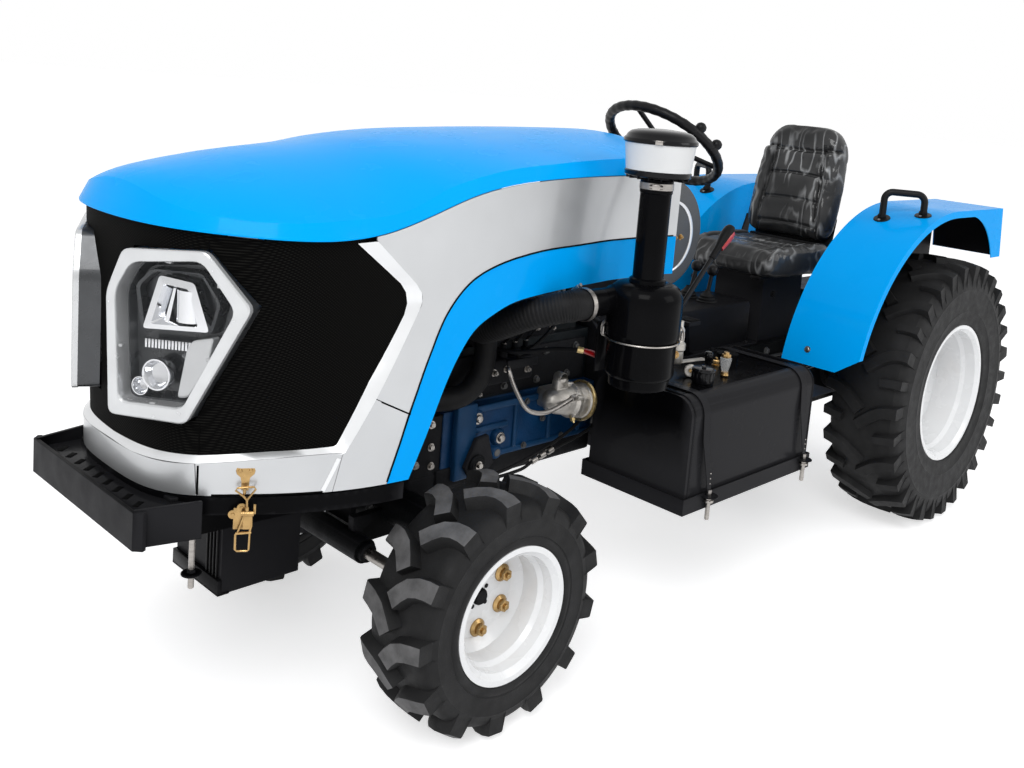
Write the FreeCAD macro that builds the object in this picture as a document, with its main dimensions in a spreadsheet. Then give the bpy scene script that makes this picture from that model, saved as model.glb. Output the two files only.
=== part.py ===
"""Greenhouse tractor: a narrow, low four-wheel-drive tractor with an open operator's place.

Frame: +X forward, +Y left, +Z up, millimetres.  The origin is on the ground, midway between
the bumper's front face and the ends of the hitch links, on the centre plane.
"""
import FreeCAD, Part
import math
import os
import Sketcher
from FreeCAD import Placement, Rotation, Vector

doc = FreeCAD.newDocument("GreenhouseTractor")
sheet = doc.addObject("Spreadsheet::Sheet", "Sizes")


# ---------------------------------------------------------------- sizes with expressions

class Size:
    """A length that knows its value and the sheet expression that gives it."""

    def __init__(self, value, text):
        self.value = float(value)
        self.text = text

    def __add__(self, other):
        other = as_size(other)
        return Size(self.value + other.value, f"({self.text} + {other.text})")

    def __radd__(self, other):
        return as_size(other) + self

    def __sub__(self, other):
        other = as_size(other)
        return Size(self.value - other.value, f"({self.text} - {other.text})")

    def __rsub__(self, other):
        return as_size(other) - self

    def __mul__(self, other):
        other = as_size(other)
        return Size(self.value * other.value, f"({self.text} * {other.text})")

    def __rmul__(self, other):
        return as_size(other) * self

    def __truediv__(self, other):
        other = as_size(other)
        return Size(self.value / other.value, f"({self.text} / {other.text})")

    def __neg__(self):
        return Size(-self.value, f"(0 - {self.text})")

    def __float__(self):
        return self.value


def as_size(value):
    if isinstance(value, Size):
        return value
    return Size(value, repr(float(value)))


def cosine(degrees):
    degrees = as_size(degrees)
    return Size(math.cos(math.radians(degrees.value)), f"cos({degrees.text} * 1deg)")


def sine(degrees):
    degrees = as_size(degrees)
    return Size(math.sin(math.radians(degrees.value)), f"sin({degrees.text} * 1deg)")


next_row = 1


def cell(alias, number, meaning):
    """One driving dimension: its meaning in column A, its number and alias in column B."""
    global next_row
    sheet.set(f"A{next_row}", meaning)
    sheet.set(f"B{next_row}", str(number))
    sheet.setAlias(f"B{next_row}", alias)
    next_row += 1
    return Size(number, f"Sizes.{alias}")


# ---------------------------------------------------------------- builders

def bind(thing, prop, value):
    """Give a property its value and tie it to the sheet."""
    value = as_size(value)
    thing.setExpression(prop, value.text)


def place(thing, x, y, z, rotation=None):
    thing.Placement = Placement(Vector(float(x), float(y), float(z)), rotation or Rotation())
    bind(thing, "Placement.Base.x", x)
    bind(thing, "Placement.Base.y", y)
    bind(thing, "Placement.Base.z", z)
    return thing


def box(name, x_span, y_span, z_span):
    """A block between two x, two y and two z values."""
    block = doc.addObject("Part::Box", name)
    bind(block, "Length", x_span[1] - as_size(x_span[0]))
    bind(block, "Width", y_span[1] - as_size(y_span[0]))
    bind(block, "Height", z_span[1] - as_size(z_span[0]))
    return place(block, x_span[0], y_span[0], z_span[0])


TURN_TO = {
    "x": Rotation(Vector(0, 1, 0), 90),
    "y": Rotation(Vector(1, 0, 0), -90),
    "z": Rotation(),
}


def rod(name, axis, radius, length, start):
    """A round bar along x, y or z from its start point."""
    bar = doc.addObject("Part::Cylinder", name)
    bind(bar, "Radius", radius)
    bind(bar, "Height", length)
    return place(bar, *start, TURN_TO[axis])


def bar_between(name, radius, start, end):
    """A round bar between two points given as Sizes."""
    bar = doc.addObject("Part::Feature", name)
    first = Vector(*[float(value) for value in start])
    last = Vector(*[float(value) for value in end])
    bar.Shape = Part.makeCylinder(float(radius), (last - first).Length, first, last - first)
    return bar


def fuse(name, *pieces):
    joined = doc.addObject("Part::MultiFuse", name)
    joined.Shapes = list(pieces)
    joined.Refine = True
    return joined


def cut(name, base, *tools):
    result = doc.addObject("Part::Cut", name)
    result.Base = base
    result.Tool = tools[0] if len(tools) == 1 else fuse(name + "Tools", *tools)
    result.Refine = True
    return result


def group(name, *pieces):
    """Separate solids that share one node."""
    together = doc.addObject("Part::Compound", name)
    together.Links = list(pieces)
    return together


def mirrored(name, source):
    twin = doc.addObject("Part::Mirroring", name)
    twin.Source = source
    twin.Base = Vector(0, 0, 0)
    twin.Normal = Vector(0, 1, 0)
    return twin


def sketch(body, name, plane, outline):
    """A closed outline on one of the body's planes.

    Each corner is (u, v) or (u, v, radius); a radius makes the edge that leaves the corner
    an arc, positive when it turns left.
    """
    drawing = body.newObject("Sketcher::SketchObject", name)
    support = [item for item in body.Origin.OriginFeatures if item.Role == plane][0]
    drawing.AttachmentSupport = [(support, "")]
    drawing.MapMode = "FlatFace"
    draw_loop(drawing, outline)
    return drawing


def draw_loop(drawing, outline):
    count = len(outline)
    ends = []
    for index in range(count):
        corner = outline[index]
        following = outline[(index + 1) % count]
        start = Vector(float(corner[0]), float(corner[1]), 0)
        end = Vector(float(following[0]), float(following[1]), 0)
        if len(corner) == 2:
            edge = drawing.addGeometry(Part.LineSegment(start, end), False)
            ends.append((edge, 1, 2))
        else:
            radius = float(corner[2])
            edge = drawing.addGeometry(arc_between(start, end, radius), False)
            ends.append((edge, 1, 2) if radius > 0 else (edge, 2, 1))
            rule = drawing.addConstraint(Sketcher.Constraint("Radius", edge, abs(radius)))
            radius_size = as_size(corner[2]) if radius > 0 else -as_size(corner[2])
            drawing.setExpression(f"Constraints[{rule}]", radius_size.text)
    for index in range(count):
        edge, first, last = ends[index]
        next_edge, next_first = ends[(index + 1) % count][:2]
        drawing.addConstraint(Sketcher.Constraint("Coincident", edge, last, next_edge, next_first))
        fix_point(drawing, edge, first, outline[index][0], outline[index][1])


def arc_between(start, end, radius):
    """The shorter arc between two points; a positive radius turns left."""
    chord = end - start
    half = chord.Length / 2
    depth = math.sqrt(max(radius * radius - half * half, 0.0))
    left = Vector(-chord.y, chord.x, 0).normalize()
    centre = (start + end) * 0.5 + left * (depth if radius > 0 else -depth)
    first, last = (start, end) if radius > 0 else (end, start)
    from_angle = math.atan2(first.y - centre.y, first.x - centre.x)
    to_angle = math.atan2(last.y - centre.y, last.x - centre.x)
    circle = Part.Circle(centre, Vector(0, 0, 1), abs(radius))
    return Part.ArcOfCircle(circle, from_angle, to_angle)


def fix_point(drawing, edge, position, u, v):
    """Tie a corner to the sheet along both of the drawing's directions."""
    for kind, axis, value in (("DistanceX", -2, u), ("DistanceY", -1, v)):
        value = as_size(value)
        if value.value == 0 and value.text == "0.0":
            drawing.addConstraint(Sketcher.Constraint("PointOnObject", edge, position, axis))
            continue
        rule = drawing.addConstraint(
            Sketcher.Constraint(kind, -1, 1, edge, position, value.value))
        drawing.setExpression(f"Constraints[{rule}]", value.text)


def circle_in(drawing, u, v, radius):
    ring = drawing.addGeometry(
        Part.Circle(Vector(float(u), float(v), 0), Vector(0, 0, 1), float(radius)), False)
    rule = drawing.addConstraint(Sketcher.Constraint("Radius", ring, float(radius)))
    drawing.setExpression(f"Constraints[{rule}]", as_size(radius).text)
    fix_point(drawing, ring, 3, u, v)


def new_body(name):
    return doc.addObject("PartDesign::Body", name)


def pad(body, drawing, length, centred=False, backwards=False):
    feature = body.newObject("PartDesign::Pad", drawing.Name + "Pad")
    feature.Profile = drawing
    feature.SideType = "Symmetric" if centred else "One side"
    feature.Reversed = backwards
    bind(feature, "Length", length)
    body.Tip = feature
    return feature


def revolve(body, drawing, axis="H_Axis"):
    feature = body.newObject("PartDesign::Revolution", drawing.Name + "Turn")
    feature.Profile = drawing
    feature.ReferenceAxis = (drawing, [axis])
    feature.Angle = 360
    body.Tip = feature
    return feature


def side_plate(name, outline, y_from, thickness):
    """A plate cut from an outline in x and z, from y_from towards +y."""
    body = new_body(name)
    drawing = sketch(body, name + "Outline", "XZ_Plane", outline)
    pad(body, drawing, thickness, backwards=True)
    bind(body, "Placement.Base.y", y_from)
    return body


def cross_section(name, outline, half_width):
    """A piece with one outline in x and z, centred on the tractor's centre plane."""
    body = new_body(name)
    drawing = sketch(body, name + "Outline", "XZ_Plane", outline)
    pad(body, drawing, half_width * 2, centred=True)
    return body


def flat_plate(name, outline, z_from, thickness):
    """A plate cut from an outline in x and y, from z_from upwards."""
    body = new_body(name)
    drawing = sketch(body, name + "Outline", "XY_Plane", outline)
    pad(body, drawing, thickness)
    bind(body, "Placement.Base.z", z_from)
    return body


nodes = []


def node(name, thing):
    thing.Label = name
    nodes.append(thing)
    return thing


# ---------------------------------------------------------------- driving dimensions

wheelbase = cell("wheelbase", 2090, "rear axle to front axle")
rear_overhang = cell("rear_overhang", 800, "rear axle to the ends of the hitch links")
front_overhang = cell("front_overhang", 723, "front axle to the bumper's front face")
rear_x = (rear_overhang - wheelbase - front_overhang) / 2
front_x = rear_x + wheelbase
nose_x = front_x + front_overhang

rear_tyre_radius = cell("rear_tyre_radius", 478, "rear tyre over its lugs")
rear_tyre_width = cell("rear_tyre_width", 264, "rear tyre section width")
rear_wheel_offset = cell("rear_wheel_offset", 492, "centre plane to rear wheel middle")
rear_rim_radius = cell("rear_rim_radius", 247, "rear rim flange radius")
rear_rim_width = cell("rear_rim_width", 236, "rear rim over its flanges")
rear_disc_inset = cell("rear_disc_inset", 52, "rear wheel middle to the disc's face, inwards")
front_tyre_radius = cell("front_tyre_radius", 286, "front tyre over its lugs")
front_tyre_width = cell("front_tyre_width", 204, "front tyre section width")
front_wheel_offset = cell("front_wheel_offset", 448, "centre plane to front wheel middle")
front_rim_radius = cell("front_rim_radius", 158, "front rim flange radius")
front_rim_width = cell("front_rim_width", 192, "front rim over its flanges")
front_disc_inset = cell("front_disc_inset", 18, "front wheel middle to the disc's face, inwards")
rim_wall = cell("rim_wall", 6, "rolled rim's wall")
bead_step = cell("bead_step", 19, "height of the rim flange above the bead seat")
well_depth = cell("well_depth", 10, "depth of the rim's drop centre")
flange_curl = cell("flange_curl", 9, "slanted step between bead seat and flange")
hub_gap = cell("hub_gap", 6, "turning hub to the housing behind it")
stud_radius = cell("stud_radius", 8, "wheel stud radius")
rear_stud_circle = cell("rear_stud_circle", 98, "rear wheel's stud circle radius")
front_stud_circle = cell("front_stud_circle", 76, "front wheel's stud circle radius")
stud_reach = cell("stud_reach", 18, "wheel stud's reach out of the disc")
hub_depth = cell("hub_depth", 22, "front wheel disc to the hub's inner end")

kingpin_offset = cell("kingpin_offset", 285, "centre plane to the kingpin's axis")
kingpin_radius = cell("kingpin_radius", 34, "kingpin tube radius")
pin_clearance = cell("pin_clearance", 0.4, "radial gap of turning pins")
knuckle_radius = cell("knuckle_radius", 52, "knuckle case radius")
knuckle_top = cell("knuckle_top", 338, "height of the knuckle case's top")
knuckle_bottom = cell("knuckle_bottom", 196, "height of the knuckle case's bottom")
moving_gap = cell("moving_gap", 6, "least gap between moving pieces")
spindle_radius = cell("spindle_radius", 46, "front spindle housing radius")
axle_height = cell("axle_height", 394, "height of the front axle beam's middle")
axle_tube_radius = cell("axle_tube_radius", 46, "front axle tube radius")
bevel_case_radius = cell("bevel_case_radius", 56, "bevel case radius round the kingpin")
bevel_case_height = cell("bevel_case_height", 84, "bevel case height")
pumpkin_radius = cell("pumpkin_radius", 75, "front differential case radius")
steer_arm = cell("steer_arm", 130, "kingpin to the steering rod's pin")
steer_rod_height = cell("steer_rod_height", 330, "height of the steering rod's axis")
cylinder_radius = cell("cylinder_radius", 30, "steering cylinder radius")
cylinder_length = cell("cylinder_length", 336, "steering cylinder length")
steer_rod_radius = cell("steer_rod_radius", 14, "steering rod radius")
steer_eye_radius = cell("steer_eye_radius", 21, "radius of the steering rod's eyes")
steer_eye_half = cell("steer_eye_half", 17, "half height of the steering rod's eyes")

plate = cell("plate", 8, "frame plate thickness")
rail_half = cell("rail_half", 125, "centre plane to the frame rails' outer faces")
rail_wall = cell("rail_wall", 14, "frame rail thickness")
rail_top = cell("rail_top", 575, "height of the frame rails' tops")
rail_depth = cell("rail_depth", 135, "frame rail depth")
bumper_half = cell("bumper_half", 241, "half width of the bumper's flat face")
bumper_bottom = cell("bumper_bottom", 523, "height of the bumper's bottom edge")
bumper_height = cell("bumper_height", 75, "bumper height")
bumper_wing = cell("bumper_wing", 14, "length of the bumper's bent ends")
bracket_length = cell("bracket_length", 124, "bumper face to the brackets' rear ends")
bracket_lean = cell("bracket_lean", 30, "spread of a bracket from its front to its rear")
apron_top = cell("apron_top", 597, "height of the apron under the nose band")
apron_depth = cell("apron_depth", 37, "apron depth")
apron_inset = cell("apron_inset", 5, "apron's edge inside the nose band's outline")
apron_rear = cell("apron_rear", 215, "front axle to the apron's rear edge")
battery_front = cell("battery_front", 458, "front axle to the battery box's front")
battery_length = cell("battery_length", 193, "battery box length")
battery_half = cell("battery_half", 100, "half width of the battery box")
battery_room = cell("battery_room", 70, "battery's top below the apron")
battery_bottom = cell("battery_bottom", 295, "height of the battery box's floor")
sheet_metal = cell("sheet_metal", 3, "folded sheet thickness")

engine_rear = cell("engine_rear", 660, "front axle back to the engine's rear face")
engine_length = cell("engine_length", 560, "engine length")
engine_half = cell("engine_half", 150, "half width of the crankcase")
girdle_top = cell("girdle_top", 620, "height of the crankcase's wide lower part")
block_half = cell("block_half", 120, "half width of the cylinder block")
block_top = cell("block_top", 770, "height of the cylinder block's top")
engine_bottom = cell("engine_bottom", 470, "height of the crankcase's bottom")
engine_top = cell("engine_top", 960, "height of the cylinder head's top")
sump_depth = cell("sump_depth", 60, "sump depth below the crankcase")
head_half = cell("head_half", 95, "half width of the cylinder head")
radiator_x = cell("radiator_x", 130, "front axle to the radiator's rear face")
radiator_depth = cell("radiator_depth", 70, "radiator depth")
radiator_half = cell("radiator_half", 210, "half width of the radiator")
radiator_bottom = cell("radiator_bottom", 610, "height of the radiator's bottom")
radiator_top = cell("radiator_top", 1090, "height of the radiator's top")

case_half = cell("case_half", 135, "half width of the gearbox case")
case_drop = cell("case_drop", 143, "rear axle down to the gearbox case's bottom")
case_bottom = rear_tyre_radius - case_drop
case_top = cell("case_top", 610, "height of the gearbox case's top")
bell_radius = cell("bell_radius", 195, "clutch housing radius")
case_rear = cell("case_rear", 165, "rear axle to the gearbox case's rear face")
trumpet_radius = cell("trumpet_radius", 70, "rear axle trumpet radius")
trumpet_flange = cell("trumpet_flange", 100, "rear axle flange radius")
trumpet_end = cell("trumpet_end", 398, "centre plane to the rear axle housing's end")
pto_height = cell("pto_height", 450, "height of the PTO shaft")
pto_radius = cell("pto_radius", 17.5, "PTO shaft radius")
pto_length = cell("pto_length", 90, "PTO shaft's free length")

lift_half = cell("lift_half", 95, "half width of the lift case")
lift_top = cell("lift_top", 760, "height of the lift case's top")
rockshaft_x = cell("rockshaft_x", 95, "rear axle back to the rockshaft")
rockshaft_height = cell("rockshaft_height", 700, "height of the rockshaft")
rockshaft_radius = cell("rockshaft_radius", 22, "rockshaft radius")
lift_arm_y = cell("lift_arm_y", 150, "centre plane to the lift arms' middle")
lift_arm_length = cell("lift_arm_length", 230, "rockshaft to the lift arm's pin")
arm_plate = cell("arm_plate", 16, "lift arm thickness")
link_pivot_x = cell("link_pivot_x", 60, "rear axle back to the lower link pivots")
link_pivot_drop = cell("link_pivot_drop", 128, "rear axle down to the lower link pivots")
link_pivot_height = rear_tyre_radius - link_pivot_drop
link_y = cell("link_y", 205, "centre plane to the lower links' middle")
link_plate = cell("link_plate", 14, "lower link thickness")
link_depth = cell("link_depth", 46, "lower link depth")
link_eye_radius = cell("link_eye_radius", 34, "radius of the lower link's end eye")
link_ball_bore = cell("link_ball_bore", 11.2, "bore radius of the lower link's ball")
link_pin_radius = cell("link_pin_radius", 14, "lower link pivot pin radius")
rod_pin_x = cell("rod_pin_x", 400, "link pivot to the lift rod's lower pin")
lift_rod_radius = cell("lift_rod_radius", 11, "lift rod radius")
drawbar_rear = cell("drawbar_rear", 430, "rear axle to the drawbar's end")
drawbar_width = cell("drawbar_width", 60, "drawbar width")
drawbar_thickness = cell("drawbar_thickness", 24, "drawbar thickness")
drawbar_drop = cell("drawbar_drop", 193, "rear axle down to the drawbar's underside")
drawbar_height = rear_tyre_radius - drawbar_drop
drawbar_bore = cell("drawbar_bore", 13, "drawbar pin bore radius")

hinge_back = cell("hinge_back", 690, "front axle back to the bonnet hinge")
hinge_pin = cell("hinge_pin", 8, "bonnet hinge pin radius")
hinge_barrel = cell("hinge_barrel", 16, "bonnet hinge barrel radius")
hinge_arm_y = cell("hinge_arm_y", 118, "centre plane to the middle of a hinge arm")
hinge_arm = cell("hinge_arm", 16, "hinge arm's thickness both ways")
bonnet_overlap = cell("bonnet_overlap", 20, "hinge back to the bonnet's rear edge")
hinge_height = cell("hinge_height", 1262, "height of the bonnet hinge")
bonnet_wall = cell("bonnet_wall", 3, "bonnet panel thickness")
bonnet_bottom = cell("bonnet_bottom", 602, "height of the nose band's bottom edge")
bonnet_half_front = cell("bonnet_half_front", 398, "half width of the bonnet at the front")
bonnet_half_rear = cell("bonnet_half_rear", 352, "half width of the bonnet at the rear")
bonnet_front_gap = cell("bonnet_front_gap", 56.5, "bumper face back to the nose band's front")
nose_setback_1 = cell("nose_setback_1", 45, "nose tip back to the first plan station")
nose_setback_2 = cell("nose_setback_2", 125, "nose tip back to the second plan station")
nose_setback_3 = cell("nose_setback_3", 215, "nose tip back to the third plan station")
nose_setback_4 = cell("nose_setback_4", 320, "nose tip back to the widest plan station")
nose_low_1 = cell("nose_low_1", 213, "half width low down at the first plan station")
nose_low_2 = cell("nose_low_2", 279, "half width low down at the second plan station")
nose_low_3 = cell("nose_low_3", 334, "half width low down at the third plan station")
nose_high_1 = cell("nose_high_1", 222, "half width at grille top at the first plan station")
nose_high_2 = cell("nose_high_2", 318, "half width at grille top at the second plan station")
nose_high_3 = cell("nose_high_3", 378, "half width at grille top at the third plan station")
nose_lean = cell("nose_lean", 22, "nose's forward lean from its foot to the grille's top")
grille_top = cell("grille_top", 1122, "height of the grille's top")
grille_recess = cell("grille_recess", 14, "grille's depth behind the silver panels")
visor_height = cell("visor_height", 78, "height over which the blue top's rim leans in")
visor_lean = cell("visor_lean", 40, "lean of the blue top's rim over that height")
crown_rear = cell("crown_rear", 1327, "height of the bonnet's crown at the rear")
panel_gap = cell("panel_gap", 2, "gap between neighbouring bonnet panels")

tank_rear = cell("tank_rear", 875, "rear axle to the tank's rear face")
tank_length = cell("tank_length", 612, "fuel tank length")
tank_inner = cell("tank_inner", 205, "centre plane to the tank's inner face")
tank_width = cell("tank_width", 335, "fuel tank width")
tank_bottom = cell("tank_bottom", 396, "height of the tank's bottom")
tank_height = cell("tank_height", 280, "fuel tank height")
tank_round = cell("tank_round", 52, "radius of the tank's long edges")
tray_depth = cell("tray_depth", 45, "depth of the tank tray's flanges")
tray_drop = cell("tray_drop", 27, "tank's bottom down to the flanges' lower edges")
cleaner_back = cell("cleaner_back", 445, "front axle back to the air cleaner's axis")
cleaner_y = cell("cleaner_y", 475, "centre plane to the air cleaner's axis")
cleaner_radius = cell("cleaner_radius", 93, "air cleaner canister radius")
cleaner_bottom = cell("cleaner_bottom", 722, "height of the canister's bottom")
cleaner_top = cell("cleaner_top", 985, "height of the canister's top")
outlet_shift = cell("outlet_shift", 50, "canister's axis in to its outlet")
outlet_drop = cell("outlet_drop", 70, "canister's top down to its outlet")
stack_radius = cell("stack_radius", 39, "intake stack radius")
bowl_bottom = cell("bowl_bottom", 1250, "height of the pre-cleaner's bottom")
bowl_radius = cell("bowl_radius", 88, "pre-cleaner bowl radius")
bowl_height = cell("bowl_height", 112, "pre-cleaner height")
hose_radius = cell("hose_radius", 38, "intake hose radius")

dash_back = cell("dash_back", 698, "front axle back to the dash pod's front")
dash_foot = cell("dash_foot", 92, "length of the dash pod's bottom")
dash_roof = cell("dash_roof", 126, "length of the dash pod's top")
dash_curve = cell("dash_curve", 240, "radius of the dash pod's rear face")
dash_half = cell("dash_half", 170, "half width of the dash pod")
dash_bottom = cell("dash_bottom", 845, "height of the dash pod's bottom")
dash_top = cell("dash_top", 1262, "height of the dash pod's top")
dash_step = cell("dash_step", 22, "step in the dash pod's front under the hinge")
dash_shelf = cell("dash_shelf", 1225, "height of that step")
wheel_back = cell("wheel_back", 1064, "front axle back to the steering wheel's middle")
wheel_height = cell("wheel_height", 1290, "height of the steering wheel's middle")
wheel_rake = cell("wheel_rake", 37.3, "steering column's lean from the vertical, degrees")
wheel_radius = cell("wheel_radius", 190, "steering wheel's rim centre line")
wheel_grip = cell("wheel_grip", 13.5, "steering wheel's rim tube radius")
column_radius = cell("column_radius", 24, "steering column radius")
column_length = cell("column_length", 300, "steering wheel to the column's foot")

seat_rear = cell("seat_rear", 190, "rear axle to the seat cushion's rear edge")
seat_length = cell("seat_length", 440, "seat cushion length")
seat_half = cell("seat_half", 225, "half width of the seat")
seat_base_top = cell("seat_base_top", 855, "height of the seat base's top")
cushion_height = cell("cushion_height", 85, "seat cushion thickness")
back_bottom = cell("back_bottom", 945, "height of the seat back's bottom")
back_height = cell("back_height", 440, "seat back height")
back_thickness = cell("back_thickness", 75, "seat back thickness")
back_half = cell("back_half", 195, "half width of the seat back")
back_lean = cell("back_lean", 12, "seat back's lean, degrees")

fender_inner = cell("fender_inner", 280, "centre plane to the fender's inner wall")
fender_outer = cell("fender_outer", 550, "centre plane to the fender's outer edge")
fender_radius = cell("fender_radius", 652, "rear axle's axis to the fender's top sheet")
fender_front_height = cell("fender_front_height", 612, "height of the fender's front edge")
fender_rear = cell("fender_rear", 398, "rear axle back to the fender's rear edge")
fender_flange = cell("fender_flange", 24, "depth of the fender's outer flange")
fender_drop = cell("fender_drop", 938, "height of the rear gusset's bottom")
fender_clip = cell("fender_clip", 70, "width of the fender's clipped front corner")
fender_clip_slope = cell("fender_clip_slope", 0.69, "that corner's height for its width")
handle_radius = cell("handle_radius", 12, "grab handle tube radius")
handle_height = cell("handle_height", 72, "grab handle's rise above the fender")
step_height = cell("step_height", 560, "height of the footboards")
step_front = cell("step_front", 1010, "rear axle to the right footboard's front")
step_rear = cell("step_rear", 660, "rear axle to the footboards' rear")
step_outer = cell("step_outer", 500, "centre plane to the footboards' outer edges")
trunnion_radius = cell("trunnion_radius", 28, "front axle trunnion radius")
trunnion_reach = cell("trunnion_reach", 98, "front axle to the trunnion's ends")
lamp_x = cell("lamp_x", 655, "front axle to the lamp face's middle")
lamp_y = cell("lamp_y", 171, "centre plane to the lamp face's middle")
lamp_turn = cell("lamp_turn", 28, "lamp face's turn outwards, degrees")
lamp_middle = cell("lamp_middle", 986, "height of the lamp's widest level")
lamp_width = cell("lamp_width", 302, "lamp width")
lamp_height = cell("lamp_height", 344, "lamp height")
lamp_depth = cell("lamp_depth", 70, "lamp depth")
lamp_proud = cell("lamp_proud", 12, "lamp bezel's stand above the nose")
bezel_width = cell("bezel_width", 17, "lamp bezel width")
latch_x = cell("latch_x", 525, "front axle to the draw latches")
latch_stand = cell("latch_stand", 6, "draw latch's stand off the nose band's foot")
latch_width = cell("latch_width", 26, "draw latch width")
latch_height = cell("latch_height", 60, "draw latch's reach above and below the seam")
latch_thickness = cell("latch_thickness", 8, "draw latch thickness")
silencer_radius = cell("silencer_radius", 58, "exhaust silencer radius")
silencer_length = cell("silencer_length", 300, "exhaust silencer length")
tail_radius = cell("tail_radius", 20, "tail pipe radius")


# ---------------------------------------------------------------- wheels

def rim(name, width, flange_radius, disc_inset, hub_radius, stud_circle, studs, hub_end):
    """A rolled drop-centre rim with a dished disc, its hub and its studs; outboard is +y."""
    half = width / 2
    seat = flange_radius - bead_step
    well = seat - well_depth
    disc_y = -disc_inset
    body = new_body(name)
    section = sketch(body, name + "Section", "YZ_Plane", [
        (half, flange_radius),
        (half - rim_wall, flange_radius),
        (half - rim_wall, seat + flange_curl),
        (half - rim_wall - flange_curl, seat),
        (half - width * 0.2, seat - 2),
        (half - width * 0.26, well),
        (-half + width * 0.26, well),
        (-half + width * 0.2, seat - 2),
        (-half + rim_wall + flange_curl, seat),
        (-half + rim_wall, seat + flange_curl),
        (-half + rim_wall, flange_radius),
        (-half, flange_radius),
        (-half, seat + flange_curl - rim_wall / 2),
        (-half + flange_curl + rim_wall / 2, seat - rim_wall),
        (-half + width * 0.2, seat - rim_wall - 2),
        (-half + width * 0.26, well - rim_wall),
        (half - width * 0.26, well - rim_wall),
        (half - width * 0.2, seat - rim_wall - 2),
        (half - flange_curl - rim_wall / 2, seat - rim_wall),
        (half, seat + flange_curl - rim_wall / 2),
    ])
    revolve(body, section)
    dish = sketch(body, name + "Dish", "YZ_Plane", [
        (disc_y, 0),
        (disc_y, stud_circle + 20),
        (disc_y + rim_wall * 3, well - rim_wall + 1),
        (disc_y + rim_wall * 2, well - rim_wall + 1),
        (disc_y - rim_wall, stud_circle + 21),
        (disc_y - rim_wall, hub_radius),
        (hub_end, hub_radius),
        (hub_end, 0),
    ])
    revolve(body, dish)
    stud = sketch(body, name + "Stud", "XZ_Plane", [])
    circle_in(stud, 0, stud_circle, stud_radius)
    nut = pad(body, stud, stud_reach, backwards=True)
    bind(stud, "AttachmentOffset.Base.z", disc_inset)
    ring = body.newObject("PartDesign::PolarPattern", name + "Studs")
    ring.Originals = [nut]
    ring.Axis = (stud, ["N_Axis"])
    ring.Angle = 360
    ring.Occurrences = studs
    body.Tip = ring
    return body


def tyre(name, width, radius, flange_radius, rim_width):
    """A closed ring of the tyre's outer shape, seated on the rim's bead seats; outboard is +y."""
    half = width / 2
    seat = flange_radius - bead_step
    well = seat - well_depth
    rim_half = rim_width / 2
    shoulder = radius - width * 0.14
    body = new_body(name)
    section = sketch(body, name + "Section", "YZ_Plane", [
        (rim_half - rim_wall - flange_curl, seat),
        (rim_half - rim_wall, seat + flange_curl),
        (rim_half - rim_wall, flange_radius + 2),
        (half, (flange_radius + shoulder) / 2),
        (half - width * 0.01, shoulder),
        (half - width * 0.08, radius - width * 0.04),
        (half - width * 0.2, radius),
        (-half + width * 0.2, radius),
        (-half + width * 0.08, radius - width * 0.04),
        (-half + width * 0.01, shoulder),
        (-half, (flange_radius + shoulder) / 2),
        (-rim_half + rim_wall, flange_radius + 2),
        (-rim_half + rim_wall, seat + flange_curl),
        (-rim_half + rim_wall + flange_curl, seat),
        (-rim_half + rim_width * 0.2, seat - 2),
        (-rim_half + rim_width * 0.26, well),
        (rim_half - rim_width * 0.26, well),
        (rim_half - rim_width * 0.2, seat - 2),
    ])
    revolve(body, section)
    return body


HALF_TURN = Rotation(Vector(0, 0, 1), 180)

for side, way in (("left", 1), ("right", -1)):
    facing = Rotation() if way == 1 else HALF_TURN
    rear_rim = rim(f"rear_rim_{side}", rear_rim_width, rear_rim_radius, rear_disc_inset,
                   trumpet_flange, rear_stud_circle, 6,
                   trumpet_end + hub_gap - rear_wheel_offset)
    place(rear_rim, rear_x, rear_wheel_offset * way, rear_tyre_radius, facing)
    node(f"rear_rim_{side}", rear_rim)
    rear_tyre = tyre(f"rear_tyre_{side}", rear_tyre_width, rear_tyre_radius, rear_rim_radius,
                     rear_rim_width)
    place(rear_tyre, rear_x, rear_wheel_offset * way, rear_tyre_radius, facing)
    node(f"rear_tyre_{side}", rear_tyre)
    front_rim = rim(f"front_rim_{side}", front_rim_width, front_rim_radius, front_disc_inset,
                    knuckle_radius + 14, front_stud_circle, 6,
                    -front_disc_inset - hub_depth)
    place(front_rim, front_x, front_wheel_offset * way, front_tyre_radius, facing)
    node(f"front_rim_{side}", front_rim)
    front_tyre = tyre(f"front_tyre_{side}", front_tyre_width, front_tyre_radius,
                      front_rim_radius, front_rim_width)
    place(front_tyre, front_x, front_wheel_offset * way, front_tyre_radius, facing)
    node(f"front_tyre_{side}", front_tyre)


# ---------------------------------------------------------------- front axle and steering

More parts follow.
